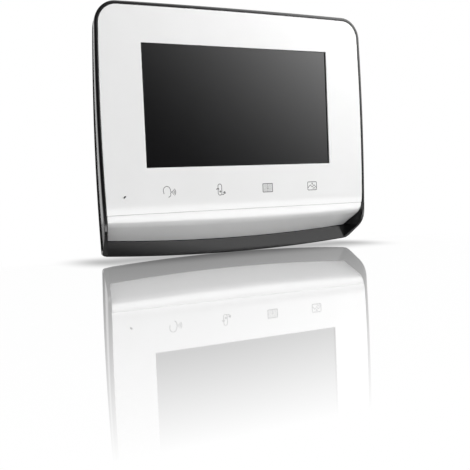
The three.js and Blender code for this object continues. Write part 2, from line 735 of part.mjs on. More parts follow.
// Drawn in the monitor's depth, so the wall is at y = OVERALL_DEPTH.
function wallBracket() {
  const plateY = [OVERALL_DEPTH - BRACKET.thickness, OVERALL_DEPTH];
  const height = BRACKET.z[1] - BRACKET.z[0];
  const centreZ = (BRACKET.z[0] + BRACKET.z[1]) / 2;
  const through = [plateY[0] - 1, plateY[1] + 1];
  const plate = slab(roundedRect(0, centreZ, 2 * BRACKET.x, height, BRACKET.corner), plateY);
  const wiring = slab(roundedRect(0, -33, 64, 34, 3), through);
  const wallSlots = [[-30, 34], [30, 34], [-44, -48.5], [44, -48.5]].map(([x, z]) => (
    slab(roundedRect(x, z, 8, 4.4, 2.15, 5), through)
  ));
  const hooksAt = BRACKET.hookZ.flatMap((z) => [-BRACKET.hookX, BRACKET.hookX].map((x) => [x, z]));
  const windows = hooksAt.map(([x, z]) => (
    block(x, z + BRACKET.thickness + 4, BRACKET.hookWidth + 0.8, 8, through)
  ));
  const hooks = hooksAt.flatMap(([x, z]) => [
    block(x, z + BRACKET.thickness / 2, BRACKET.hookWidth, BRACKET.thickness,
      [BRACKET.lipY, plateY[0] + 0.4]),
    block(x, z + (BRACKET.lipHeight + BRACKET.thickness) / 2, BRACKET.hookWidth,
      BRACKET.lipHeight + BRACKET.thickness, [BRACKET.lipY, BRACKET.lipY + BRACKET.thickness]),
  ]);
  return join(cut(plate, wiring, ...wallSlots, ...windows), ...hooks);
}

function wallPad(x) {
  return turned(x, -84, [[0, 24.5], [4, 24.5], [4, 24.8], [3.4, 25], [0, 25]], 16);
}

// ---------------------------------------------------------------- scene

const FINISHES = {
  white: { color: 0xf1f1ef, roughness: 0.18, metalness: 0 },
  gloss_black: { color: 0x0b0b0c, roughness: 0.12, metalness: 0 },
  matt_black: { color: 0x17181a, roughness: 0.55, metalness: 0 },
  black_glass: { color: 0x08090a, roughness: 0.05, metalness: 0 },
  steel: { color: 0xb7babd, roughness: 0.35, metalness: 1 },
  display: { color: 0x1a1c20, roughness: 0.2, metalness: 0 },
  milky: { color: 0xe6e6e0, roughness: 0.5, metalness: 0 },
  grey_plastic: { color: 0x4c4f52, roughness: 0.6, metalness: 0 },
  circuit_board: { color: 0x14502e, roughness: 0.45, metalness: 0 },
  ribbon: { color: 0xc98a3a, roughness: 0.4, metalness: 0 },
  chip: { color: 0x1b1b1d, roughness: 0.6, metalness: 0 },
  aluminium: { color: 0xc9ccd0, roughness: 0.3, metalness: 1 },
  rubber: { color: 0x202020, roughness: 0.8, metalness: 0 },
  paper: { color: 0x2a2a2c, roughness: 0.9, metalness: 0 },
  terminal: { color: 0x2f6f4a, roughness: 0.5, metalness: 0 },
  orange: { color: 0xd9731a, roughness: 0.45, metalness: 0 },
};

function mesh(name, solid, finish) {
  const material = new THREE.MeshStandardMaterial({ name: finish, ...FINISHES[finish] });
  const piece = new THREE.Mesh(toGeometry(solid), material);
  piece.name = name;
  return piece;
}

const monitor = new THREE.Group();
monitor.add(
  mesh('front_plate', frontPlate(), 'white'),
  mesh('chin_cover', chinCover(), 'white'),
  mesh('front_frame', frontFrame(), 'gloss_black'),
  mesh('rear_cover', rearCover(), 'matt_black'),
  mesh('display_glass', displayGlass(), 'black_glass'),
  mesh('lcd_bezel', lcdBezel(), 'steel'),
  mesh('lcd_cell', lcdCell(), 'display'),
  mesh('backlight_unit', backlightUnit(), 'milky'),
  mesh('inner_chassis', innerChassis(), 'grey_plastic'),
  mesh('main_board', mainBoard(), 'circuit_board'),
  mesh('shield_can', shieldCan(), 'steel'),
  mesh('processor', processor(), 'chip'),
  mesh('capacitor_1', capacitor(38), 'aluminium'),
  mesh('capacitor_2', capacitor(47), 'aluminium'),
  mesh('display_connector', displayConnector(), 'milky'),
  mesh('display_ribbon', displayRibbon(), 'ribbon'),
  mesh('touch_key_board', touchKeyBoard(), 'circuit_board'),
  mesh('touch_ribbon', touchRibbon(), 'ribbon'),
  mesh('microphone_boot', microphoneBoot(), 'rubber'),
  mesh('microphone', microphone(), 'aluminium'),
  mesh('speaker_basket', speakerBasket(), 'steel'),
  mesh('speaker_magnet', speakerMagnet(), 'steel'),
  mesh('speaker_cone', speakerCone(), 'paper'),
  mesh('speaker_gasket', speakerGasket(), 'rubber'),
  mesh('terminal_block', terminalBlock(), 'terminal'),
  mesh('card_socket', cardSocket(), 'steel'),
  mesh('memory_card', memoryCard(), 'chip'),
  mesh('switch_body', switchBody(), 'chip'),
  mesh('power_switch', powerSwitch(), 'matt_black'),
  mesh('reset_switch', resetSwitch(), 'chip'),
  mesh('reset_button', resetButton(), 'matt_black'),
  mesh('wall_bracket', wallBracket(), 'steel'),
);
for (let i = 0; i < 4; i++) {
  monitor.add(mesh(`terminal_tab_${i + 1}`, terminalTab(i), 'orange'));
}
COVER_SCREWS.forEach((at, i) => {
  monitor.add(mesh(`cover_screw_${i + 1}`, screw(at, 22.9, 2.8, 1.4, 12), 'steel'));
});
CHASSIS.footZ.flatMap((z) => [[-CHASSIS.footX, z], [CHASSIS.footX, z]]).forEach((at, i) => {
  monitor.add(mesh(`chassis_screw_${i + 1}`, screw(at, 11.1, 2.4, 1.1, 4), 'steel'));
});
BOARD_SCREWS.forEach((at, i) => {
  monitor.add(mesh(`board_screw_${i + 1}`, screw(at, PARTS_Y, 2.4, 0.9, 10), 'steel'));
});
[-80, 80].forEach((x, i) => {
  monitor.add(mesh(`wall_pad_${i + 1}`, wallPad(x), 'rubber'));
});
monitor.position.y = -OVERALL_DEPTH;

const object = new THREE.Group();
object.add(monitor);

export default object;
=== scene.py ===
"""Video intercom monitor: the fine shells, the printed signs and every material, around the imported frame."""

import math

import bmesh
import bpy
from mathutils import Matrix, Vector
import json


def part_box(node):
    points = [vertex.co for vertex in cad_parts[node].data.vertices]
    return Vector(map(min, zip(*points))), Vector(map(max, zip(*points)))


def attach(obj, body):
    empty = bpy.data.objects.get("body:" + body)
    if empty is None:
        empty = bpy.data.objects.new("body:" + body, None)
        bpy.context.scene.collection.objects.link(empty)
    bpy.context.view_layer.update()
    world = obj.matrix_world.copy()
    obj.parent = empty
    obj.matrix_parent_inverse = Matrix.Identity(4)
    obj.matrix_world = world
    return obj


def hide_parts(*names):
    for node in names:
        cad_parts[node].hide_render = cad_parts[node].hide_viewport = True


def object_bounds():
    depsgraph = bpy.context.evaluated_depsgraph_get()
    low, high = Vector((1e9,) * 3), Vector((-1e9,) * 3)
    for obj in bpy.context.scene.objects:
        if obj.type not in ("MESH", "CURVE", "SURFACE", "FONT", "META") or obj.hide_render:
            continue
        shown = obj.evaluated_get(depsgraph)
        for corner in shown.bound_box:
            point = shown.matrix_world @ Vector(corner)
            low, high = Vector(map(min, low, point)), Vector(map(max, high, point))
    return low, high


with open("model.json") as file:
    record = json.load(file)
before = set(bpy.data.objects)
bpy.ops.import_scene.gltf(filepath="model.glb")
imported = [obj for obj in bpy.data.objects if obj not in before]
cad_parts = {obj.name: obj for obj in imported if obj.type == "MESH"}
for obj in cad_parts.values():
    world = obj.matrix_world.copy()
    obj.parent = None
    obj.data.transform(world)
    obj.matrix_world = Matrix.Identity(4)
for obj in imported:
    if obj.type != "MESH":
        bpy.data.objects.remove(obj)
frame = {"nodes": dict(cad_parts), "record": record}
cad_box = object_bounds()

# ---------------------------------------------------------------- shape numbers, in millimetres
# A rectangle is (x, z, width, height, corner radius, steps per corner), or without x and z where
# it is used at several places.

MM = 0.001
FRONT_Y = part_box("front_plate")[0].y  # plane of the front plate; depths are measured from it
PLATE_DEPTH = (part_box("front_plate")[1].y - FRONT_Y) / MM
GAP = 0.3

HALF_WIDTH = 111.15
WIDEST_Z = -15.0
SIDE_BOW = 3520.0
TOP_Z = 71.0
TOP_BOW = 0.000074
BOTTOM_Z = -107.4
BOTTOM_BOW = 0.00036
TOP_RADIUS = 16.5
BOTTOM_RADIUS = 2.5
TAPER, TAPER_EASE, TAPER_POWER = 0.1588, 0.000364, 1.2  # how the sides draw in towards the back
WALL = 2.9
PARTING = 21.0  # depth where the frame ends and the rear cover begins
BACK = 24.2
RIM = 2.5  # black edge around the plate
SEAM_Z = -74.7
SEAM_GAP = 0.12
SCREEN = (154.08, 85.92)
PLATE_FACE, PLATE_LIP = 0.03, 1.0  # depths of the plate's face and of the step behind its edge
PLATE_BEND_Z, PLATE_BEND = -67.0, 0.8
PLATE_REBATE = (160.0, 92.0, 0.6)

CHIN_TOP = 0.8
CHIN_RADIUS = 10.0
CHIN_ANGLE = math.radians(57)
CHIN_END = 18.65  # depth of the chin's lower edge and of the band's face
CHIN_EDGE_Z = -96.25
CHIN_THICKNESS = 1.8
CHIN_SIDE_X, CHIN_SIDE_SLOPE = 107.8, 0.327

CHEEK_TOP_Z = -80.8
CHEEK_RADIUS = 16.25
CHEEK_ANGLE = math.radians(53.5)
LEDGE = (3.1, 5.3)  # depths of the ledge that carries the plate
LEDGE_INSET = 12.0
RAIL_X, RAIL_Z = 104.0, (-76.5, -68.5)
BAND_X = 102.4

SIDE_CUT = (98.0, HALF_WIDTH + 2)  # from inside the housing to past its right side
SWITCH_TRAVEL = 3.0
RESET_HOLE = 1.85

COVER_EDGE = 1.2
COVER_INSIDE = 21.6
COVER_RECESS = 23.4  # depth of the floor of the well that takes the bracket
COVER_WELL = (0, -10, 144, 120, 5, 8)
COVER_HOLLOW = (0, -12.5, 200, 149, 12, 8)
COVER_SCREWS = ((-95, 56), (95, 56), (-97.5, -72.5), (97.5, -72.5))
SCREW_HOLE, SCREW_WELL, SCREW_SEAT = 1.8, 3.2, 22.6  # two radii and the depth of the well's floor
TONGUE = (WALL + GAP, WALL + GAP + 1.4)
TONGUE_END = 19.5
TONGUE_FOOT, TONGUE_TURN = 4.0, 6.0  # heights above the chin's lower edge
CUT_DEPTHS = (19.0, 26.0)
WIRING_OPENING = (0, -33.5, 40, 24, 1.2)
HOOK_SLOT, HOOK_SLOT_DROP = (13.2, 9.9, 0.8), 3.45
VENTS, VENT_PITCH, VENT_WIDTH, VENT_Z = 9, 12, 8, 56
SLIT, SLIT_RADIUS = 1.8, 0.88  # height and end radius of a vent or a speaker slot
SPEAKER = (74.0, -62.0, 15.0)  # x, z and radius of the field of slots
SPEAKER_SLOTS, SPEAKER_PITCH = 6, 5

WALL_FACE = 25.0
BRACKET = (0, -6, 124, 100, 4, 8)
BRACKET_WINDOW = (0, -33, 64, 34, 3)
WALL_SLOTS = ((-30, 34), (30, 34), (-44, -48.5), (44, -48.5))
WALL_SLOT = (8, 4.4, 2.15)
STRIP = 1.2  # thickness of the bracket's steel
HOOKS = tuple((x, z) for z in (22.0, -38.0) for x in (-50.0, 50.0))  # middle and underside
HOOK_LIP = (20.1, 7.7)  # depth of its front face, and height
HOOK_HALF = 6.0
HOOK_WINDOW = (12.8, 8, 0.5)

SCREW_SHANK, SCREW_HEAD, SCREW_HEAD_HEIGHT = 1.4, 2.8, 1.2  # two radii and a height
CROSS, CROSS_DEPTH = (0.34, 1.45), 0.75
COLLAR_X = (101.6, 102.8)

KEY_Z, KEY_PITCH = -60.0, 40.3
SIGN_DEPTH = 0.012
MIC = (-94.3, -62.5)
MIC_PORT = (2.5, 1.1, 0.54)
MIC_SEAT = 2.6
MIC_TILT = math.radians(33)

# ---------------------------------------------------------------- outline formulas


def side_x(z):
    return HALF_WIDTH - (z - WIDEST_Z) ** 2 / SIDE_BOW


def top_z(x):
    return TOP_Z - TOP_BOW * x * x


def bottom_z(x):
    return BOTTOM_Z + BOTTOM_BOW * x * x


def taper(depth, z):
    """How far the side has drawn in at a depth and height."""
    return (TAPER - TAPER_EASE * (TOP_Z - z)) * depth**TAPER_POWER


def chin_edge_z(x):
    return CHIN_EDGE_Z + BOTTOM_BOW * x * x


def chin_side_x(depth):
    return CHIN_SIDE_X - CHIN_SIDE_SLOPE * depth


def cheek_depth(z):
    """Depth of the cheek's front edge at height z."""
    bend_end = CHEEK_TOP_Z - CHEEK_RADIUS * math.sin(CHEEK_ANGLE)
    if z >= CHEEK_TOP_Z:
        return 0.0
    if z >= bend_end:
        return CHEEK_RADIUS - math.sqrt(CHEEK_RADIUS**2 - (CHEEK_TOP_Z - z) ** 2)
    start = CHEEK_RADIUS * (1 - math.cos(CHEEK_ANGLE))
    return min(start + (bend_end - z) * math.tan(CHEEK_ANGLE), CHIN_END)


def spread(low, high, steps):
    return [low + (high - low) * i / steps for i in range(steps + 1)]


def corner_arc(side, edge, radius, up, steps):
    """The arc from x = side(z) to z = edge(x), as (point, direction to its centre)."""

    def slope(curve, at):
        return curve(at + 0.5) - curve(at - 0.5)

    centre = Vector((side(edge(0)) - radius, edge(0) - up * radius))
    start, end = 0.0, math.pi / 2
    for _ in range(12):
        z = centre.y + up * radius * math.sin(start)
        x = centre.x + radius * math.cos(end)
        start = math.atan(-slope(side, z) * up)
        end = math.pi / 2 - math.atan(-slope(edge, x) * up)
        centre.x = side(z) - radius * math.cos(start)
        centre.y = edge(x) - up * radius * math.sin(end)
    arc = []
    for angle in spread(start, end, steps):
        out = Vector((math.cos(angle), up * math.sin(angle)))
        arc.append((centre + radius * out, -out))
    return arc


def mirrored(half):
    """A right half from the bottom to the top, and its mirror image back down."""
    left = [(Vector((-p.x, p.y)), Vector((-d.x, d.y))) for p, d in reversed(half)]
    return half + left[1:]


def top_run(from_x, inset, steps):
    run = []
    for x in spread(from_x, 0.0, steps)[1:]:
        run.append((Vector((x, top_z(x) - inset)), Vector((-2 * TOP_BOW * x, -1)).normalized()))
    return run


def body_half():
    """The housing's right side from its lower corner to the middle of the top."""
    level = Vector((-1.0, 0.0))
    lower = [(p, level) for p, _ in reversed(corner_arc(side_x, bottom_z, BOTTOM_RADIUS, -1, 8))]
    upper = corner_arc(side_x, top_z, TOP_RADIUS, 1, 24)
    low_z, high_z = lower[-1][0].y, upper[0][0].y
    heights = spread(low_z, SEAM_Z - 0.01, 22)[1:] + spread(SEAM_Z + 0.01, high_z, 30)[:-1]
    side = []
    for z in heights:
        inward = Vector((-1.0, -2 * (z - WIDEST_Z) / SIDE_BOW)).normalized() if z > WIDEST_Z else level
        side.append((Vector((side_x(z), z)), inward))
    return lower + side + upper + top_run(upper[-1][0].x, 0.0, 20)


def plate_outline(inset, low_z):
    """The outline of what lies above the seam, straight along the bottom."""
    corner = corner_arc(lambda z: side_x(z) - inset, lambda x: top_z(x) - inset, TOP_RADIUS - inset, 1, 24)
    side = [Vector((side_x(z) - inset, z)) for z in spread(low_z, corner[0][0].y, 30)[:-1]]
    half = side + [p for p, _ in corner] + [p for p, _ in top_run(corner[-1][0].x, inset, 16)]
    return half + [Vector((-p.x, p.y)) for p in reversed(half[:-1])]


def rounded_rect(x, z, width, height, radius, steps=6):
    outline = []
    for sx, sz, start in ((1, -1, -90), (1, 1, 0), (-1, 1, 90), (-1, -1, 180)):
        for angle in spread(math.radians(start), math.radians(start + 90), steps):
            outline.append(Vector((
                x + sx * (width / 2 - radius) + radius * math.cos(angle),
                z + sz * (height / 2 - radius) + radius * math.sin(angle),
            )))
    return outline


def circle(x, z, radius, steps=32):
    turn = 2 * math.pi / steps
    return [Vector((x + radius * math.cos(i * turn), z + radius * math.sin(i * turn))) for i in range(steps)]


# ---------------------------------------------------------------- mesh making


def place(x, depth, z):
    """A point in the row frame from millimetres and the depth behind the front plate."""
    return Vector((x * MM, FRONT_Y + depth * MM, z * MM))


def points(*pairs):
    return [Vector(pair) for pair in pairs]


def depth_of(y):
    """Millimetres behind the front plate of a world y."""
    return (y - FRONT_Y) / MM


def middle_of(node):
    """Depth and height of the middle of a CAD node, in millimetres."""
    low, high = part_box(node)
    return depth_of((low.y + high.y) / 2), (low.z + high.z) / 2 / MM


def weigh_normals(obj):
    obj.modifiers.new("weighted", "WEIGHTED_NORMAL").keep_sharp = True


def bevelled(obj, width):
    """Rounds every sharp edge before the normals are weighted."""
    bevel = obj.modifiers.new("edges", "BEVEL")
    bevel.width = width * MM
    bevel.segments = 2
    bevel.limit_method = "ANGLE"
    bevel.angle_limit = math.radians(40)
    obj.modifiers.move(len(obj.modifiers) - 1, 0)


def finish_mesh(name, bm, material, sharp=35.0):
    bmesh.ops.remove_doubles(bm, verts=bm.verts, dist=2e-7)
    bmesh.ops.dissolve_degenerate(bm, edges=bm.edges, dist=1e-7)
    bmesh.ops.recalc_face_normals(bm, faces=bm.faces)
    mesh = bpy.data.meshes.new(name)
    bm.to_mesh(mesh)
    bm.free()
    mesh.shade_smooth()
    mesh.set_sharp_from_angle(angle=math.radians(sharp))
    obj = bpy.data.objects.new(name, mesh)
    bpy.context.scene.collection.objects.link(obj)
    mesh.materials.append(material)
    weigh_normals(obj)
    return obj


def rounded(corners):
    """A closed loop of (u, v, radius, steps) corners; steps 0 keeps a corner as it is."""
    loop = []
    for i, (u, v, radius, steps) in enumerate(corners):
        point = Vector((u, v))
        if not steps:
            loop.append(point)
            continue
        before = Vector(corners[i - 1][:2]) - point
        after = Vector(corners[(i + 1) % len(corners)][:2]) - point
        reach = 0.49 * min(before.length, after.length)
        before.normalize()
        after.normalize()
        along = min(radius / math.tan(before.angle(after) / 2), reach)
        for t in spread(0.0, 1.0, steps):
            loop.append(point + before * (along * (1 - t) ** 2) + after * (along * t**2))
    return loop


def add_skin(bm, loops, closed=False):
    """Quads between loops of equally many points, capped at both ends unless it closes on itself."""
    rows = [[bm.verts.new(p) for p in loop] for loop in loops]
    count = len(rows[0])
    for r in range(len(rows) - (0 if closed else 1)):
        here, there = rows[r], rows[(r + 1) % len(rows)]
        for i in range(count):
            j = (i + 1) % count
            bm.faces.new((here[i], here[j], there[j], there[i]))
    if not closed:
        bm.faces.new(rows[0])
        bm.faces.new(rows[-1])


def add_bar(bm, sections):
    """A bar along x, from pairs of x and the section's corners as (depth, z, radius, steps)."""
    add_skin(bm, [[place(x, p.x, p.y) for p in rounded(corners)] for x, corners in sections])


def add_prism(bm, outline, depths):
    """A straight block between two depths with an outline in x and z."""
    add_skin(bm, [[place(p.x, depth, p.y) for p in outline] for depth in depths])


def add_box(bm, xs, depths, zs):
    (left, right), (low, high) = xs, zs
    corners = ((left, low), (right, low), (right, high), (left, high))
    verts = [bm.verts.new(place(x, depth, z)) for depth in depths for x, z in corners]
    for face in ((0, 1, 2, 3), (7, 6, 5, 4), (0, 4, 5, 1), (1, 5, 6, 2), (2, 6, 7, 3), (3, 7, 4, 0)):
        bm.faces.new([verts[i] for i in face])


def slab_mesh(outlines, depths, bevel, steps=3):
    """A bmesh of a flat plate: the first outline with the others as holes, all edges rounded."""
    curve = bpy.data.curves.new("outline", "CURVE")
    curve.dimensions = "2D"
    curve.fill_mode = "BOTH"
    curve.extrude = (depths[1] - depths[0]) / 2 - bevel
    curve.bevel_depth = bevel
    curve.bevel_resolution = steps
    curve.offset = -bevel
    for outline in outlines:
        spline = curve.splines.new("POLY")
        spline.points.add(len(outline) - 1)
        spline.points.foreach_set("co", [v for p in outline for v in (p.x, p.y, 0.0, 1.0)])
        spline.use_cyclic_u = True
    obj = bpy.data.objects.new("outline", curve)
    bpy.context.scene.collection.objects.link(obj)
    bpy.context.view_layer.update()
    mesh = bpy.data.meshes.new_from_object(obj.evaluated_get(bpy.context.evaluated_depsgraph_get()))
    bpy.data.objects.remove(obj)
    middle = (depths[0] + depths[1]) / 2
    bm = bmesh.new()
    bm.from_mesh(mesh)
    bpy.data.meshes.remove(mesh)
    for vert in bm.verts:
        vert.co = place(vert.co.x, middle - vert.co.z, vert.co.y)
    bmesh.ops.remove_doubles(bm, verts=bm.verts, dist=2e-7)
    return bm


def merge(bm, other):
    """Adds another bmesh to this one."""
    mesh = bpy.data.meshes.new("merge")
    other.to_mesh(mesh)
    other.free()
    bm.from_mesh(mesh)
    bpy.data.meshes.remove(mesh)


def carved(bm, cutters):
    """bm with the cutters, one bmesh of closed pieces, taken away."""
    objects = []
    for source in (bm, cutters):
        bmesh.ops.recalc_face_normals(source, faces=source.faces)
        mesh = bpy.data.meshes.new("carve")
        source.to_mesh(mesh)
        source.free()
        obj = bpy.data.objects.new("carve", mesh)
        bpy.context.scene.collection.objects.link(obj)
        objects.append(obj)
    body, tool = objects
    cut = body.modifiers.new("cut", "BOOLEAN")
    cut.operation = "DIFFERENCE"
    cut.solver = "EXACT"
    cut.object = tool
    bpy.context.view_layer.update()
    result = bpy.data.meshes.new_from_object(body.evaluated_get(bpy.context.evaluated_depsgraph_get()))
    made = bmesh.new()
    made.from_mesh(result)
    for obj in objects:
        bpy.data.objects.remove(obj)
    return made


# ---------------------------------------------------------------- materials


class Paint:
    """A principled material with procedural colour, roughness and bump."""

    def __init__(self, name, color, roughness, metallic=0.0, **sockets):
        self.name = name
        self.material = bpy.data.materials.new(name)
        self.material.use_nodes = True
        self.tree = self.material.node_tree
        self.shader = self.tree.nodes["Principled BSDF"]
        self.shader.inputs["Base Color"].default_value = (*color, 1.0)
        self.shader.inputs["Roughness"].default_value = roughness
        self.shader.inputs["Metallic"].default_value = metallic
        for socket, value in sockets.items():
            self.shader.inputs[socket.replace("_", " ")].default_value = value
        self.coords = self.tree.nodes.new("ShaderNodeTexCoord").outputs["Object"]

    def link(self, a, b):
        self.tree.links.new(a, b)

    def stretched(self, scale):
        node = self.tree.nodes.new("ShaderNodeMapping")
        node.inputs["Scale"].default_value = scale
        self.link(self.coords, node.inputs["Vector"])
        return node.outputs["Vector"]

    def noise(self, scale, detail=3.0, vector=None, rough=0.5):
        node = self.tree.nodes.new("ShaderNodeTexNoise")
        node.inputs["Scale"].default_value = scale
        node.inputs["Detail"].default_value = detail
        node.inputs["Roughness"].default_value = rough
        self.link(vector or self.coords, node.inputs["Vector"])
        return node.outputs["Fac"]

    def remap(self, value, low, high, from_low=0.3, from_high=0.7):
        node = self.tree.nodes.new("ShaderNodeMapRange")
        ends = {"From Min": from_low, "From Max": from_high, "To Min": low, "To Max": high}
        for name, number in ends.items():
            node.inputs[name].default_value = number
        self.link(value, node.inputs["Value"])
        return node.outputs["Result"]

    def vary_color(self, value, dark, light):
        node = self.tree.nodes.new("ShaderNodeValToRGB")
        node.color_ramp.elements[0].color = (*dark, 1.0)
        node.color_ramp.elements[0].position = 0.3
        node.color_ramp.elements[1].color = (*light, 1.0)
        node.color_ramp.elements[1].position = 0.7
        self.link(value, node.inputs["Fac"])
        self.link(node.outputs["Color"], self.shader.inputs["Base Color"])
        return self

    def vary_roughness(self, value, low, high):
        self.link(self.remap(value, low, high), self.shader.inputs["Roughness"])
        return self

    def bump(self, value, strength, distance):
        node = self.tree.nodes.new("ShaderNodeBump")
        node.inputs["Strength"].default_value = strength
        node.inputs["Distance"].default_value = distance
        self.link(value, node.inputs["Height"])
        self.link(node.outputs["Normal"], self.shader.inputs["Normal"])
        return self

    def position(self):
        """The parts of the object coordinates, by the names X, Y and Z."""
        node = self.tree.nodes.new("ShaderNodeSeparateXYZ")
        self.link(self.coords, node.inputs["Vector"])
        return node.outputs

    def mix_surface(self, share, first, second=None):
        """Makes the surface a mix of two shaders. Without a second one its share is black."""
        node = self.tree.nodes.new("ShaderNodeMixShader")
        self.link(share, node.inputs["Fac"])
        self.link(first, node.inputs[1])
        if second:
            self.link(second, node.inputs[2])
        self.link(node.outputs["Shader"], self.tree.nodes["Material Output"].inputs["Surface"])
        return node.outputs["Shader"]

    def clear(self):
        return self.tree.nodes.new("ShaderNodeBsdfTransparent").outputs["BSDF"]

    def glow(self, strength=None):
        node = self.tree.nodes.new("ShaderNodeEmission")
        if strength:
            self.link(strength, node.inputs["Strength"])
        return node.outputs["Emission"]


def maths_in(tree):
    """A function that adds a Math node for two numbers or sockets, and returns its output."""

    def maths(kind, a, b):
        node = tree.nodes.new("ShaderNodeMath")
        node.operation = kind
        for socket, value in zip(node.inputs, (a, b)):
            if isinstance(value, float):
                socket.default_value = value
            else:
                tree.links.new(value, socket)
        return node.outputs["Value"]

    return maths


def shade(color, factor):
    return tuple(min(c * factor, 1.0) for c in color)


def make_paints():
    paints = {}

    def keep(paint):
        paints[paint.name] = paint.material
        return paint

    white = keep(Paint("white", (0.80, 0.80, 0.80), 0.16, IOR=1.49, Coat_Weight=0.35, Coat_Roughness=0.04))
    white.vary_color(white.noise(35, 2), (0.792, 0.792, 0.790), (0.808, 0.808, 0.808))
    white.vary_roughness(white.noise(900, 4), 0.13, 0.19).bump(white.noise(260, 2), 0.04, 0.0002)

    gloss = keep(Paint("gloss_black", (0.006, 0.006, 0.0065), 0.1, IOR=1.46))
    gloss.vary_color(gloss.noise(60, 3), (0.0025, 0.0025, 0.0028), (0.005, 0.005, 0.0053))
    gloss.vary_roughness(gloss.noise(700, 4), 0.07, 0.14).bump(gloss.noise(180, 2), 0.05, 0.0002)

    matt = keep(Paint("matt_black", (0.016, 0.016, 0.017), 0.6, Specular_IOR_Level=0.2))
    matt.vary_color(matt.noise(300, 4), (0.012, 0.012, 0.013), (0.021, 0.021, 0.022))
    matt.vary_roughness(matt.noise(500, 3), 0.48, 0.64).bump(matt.noise(3500, 3), 0.35, 0.00006)

    glass = keep(Paint("black_glass", (0.0035, 0.0035, 0.004), 0.03, IOR=1.58))
    glass.vary_color(glass.noise(40, 2), (0.003, 0.003, 0.0034), (0.004, 0.004, 0.0046))
    glass.vary_roughness(glass.noise(90, 3), 0.02, 0.05)

    lcd = keep(Paint("lcd_glass", (0.02, 0.02, 0.024), 0.25, IOR=1.5))
    lcd.vary_color(lcd.noise(40, 2), (0.016, 0.017, 0.02), (0.024, 0.024, 0.029))
    lcd.vary_roughness(lcd.noise(1200, 2), 0.2, 0.32)

    steels = (("steel", 0.62, 0.3), ("bracket_steel", 0.55, 0.36), ("screw_steel", 0.5, 0.32))
    for name, tone, rough in steels:
        steel = keep(Paint(name, (tone, tone * 1.01, tone * 1.03), rough, 1.0))
        grain = steel.noise(400, 6, steel.stretched((0.12, 1.0, 3.0)), 0.6)
        steel.vary_color(steel.noise(50, 4), shade((tone,) * 3, 0.86), shade((tone, tone, tone * 1.02), 1.08))
        steel.vary_roughness(grain, rough - 0.08, rough + 0.14).bump(grain, 0.12, 0.00004)

    milky = keep(Paint("milky", (0.78, 0.78, 0.74), 0.45, Subsurface_Weight=0.1, Subsurface_Scale=0.002))
    milky.vary_color(milky.noise(80, 3), (0.75, 0.75, 0.70), (0.81, 0.81, 0.78))
    milky.vary_roughness(milky.noise(800, 2), 0.4, 0.52)

    grey = keep(Paint("grey_plastic", (0.08, 0.084, 0.09), 0.5))
    grey.vary_color(grey.noise(120, 4), (0.07, 0.073, 0.08), (0.09, 0.095, 0.10))
    grey.vary_roughness(grey.noise(900, 3), 0.44, 0.6).bump(grey.noise(2500, 3), 0.2, 0.00005)

    board = keep(Paint("circuit_board", (0.015, 0.09, 0.035), 0.35, Coat_Weight=0.3))
    tracks = board.tree.nodes.new("ShaderNodeTexVoronoi")
    tracks.distance = "MANHATTAN"
    tracks.feature = "F1"
    tracks.inputs["Scale"].default_value = 420
    board.link(board.coords, tracks.inputs["Vector"])
    board.vary_color(tracks.outputs["Distance"], (0.012, 0.075, 0.03), (0.025, 0.135, 0.055))
    board.vary_roughness(board.noise(600, 3), 0.28, 0.42).bump(tracks.outputs["Distance"], 0.15, 0.00004)

    film = keep(Paint("ribbon", (0.42, 0.17, 0.035), 0.3))
    lines = film.tree.nodes.new("ShaderNodeTexWave")
    lines.bands_direction = "X"
    lines.inputs["Scale"].default_value = 320
    film.link(film.coords, lines.inputs["Vector"])
    film.vary_color(lines.outputs["Fac"], (0.30, 0.11, 0.02), (0.52, 0.24, 0.06))
    film.bump(lines.outputs["Fac"], 0.2, 0.00004)

    can = keep(Paint("aluminium", (0.8, 0.81, 0.82), 0.28, 1.0))
    can.vary_roughness(can.noise(700, 4, can.stretched((1.0, 4.0, 1.0))), 0.22, 0.38)
    can.vary_color(can.noise(200, 3), (0.74, 0.75, 0.76), (0.85, 0.86, 0.87))

    # name, colour, roughness, patches with their dark and light colour, grain with its bump
    plain = (
        ("chip", (0.018, 0.018, 0.019), 0.5,
         (500, 4), (0.014, 0.014, 0.015), (0.024, 0.024, 0.025), (4000, 2), 0.3, 0.00004),
        ("rubber", (0.02, 0.02, 0.02), 0.8,
         (400, 4), (0.016, 0.016, 0.016), (0.028, 0.028, 0.028), (3000, 4), 0.35, 0.00006),
        ("paper", (0.028, 0.028, 0.03), 0.9,
         (900, 6), (0.02, 0.02, 0.022), (0.04, 0.04, 0.043), (2500, 6), 0.6, 0.0001),
        ("terminal", (0.025, 0.13, 0.06), 0.42,
         (200, 4), (0.021, 0.115, 0.052), (0.03, 0.15, 0.07), (2600, 3), 0.2, 0.00005),
        ("orange", (0.62, 0.17, 0.02), 0.4,
         (200, 4), (0.57, 0.15, 0.017), (0.68, 0.2, 0.027), (2600, 3), 0.2, 0.00005),
    )
    for name, color, rough, patches, dark, light, grain, strength, distance in plain:
        paint = keep(Paint(name, color, rough))
        paint.vary_color(paint.noise(*patches), dark, light).bump(paint.noise(*grain), strength, distance)

    ink = keep(Paint("sign_ink", (0.07, 0.07, 0.072), 0.35))
    ink.vary_color(ink.noise(600, 4), (0.06, 0.06, 0.062), (0.08, 0.08, 0.082))
    return paints


PAINTS = make_paints()

# ---------------------------------------------------------------- black front frame


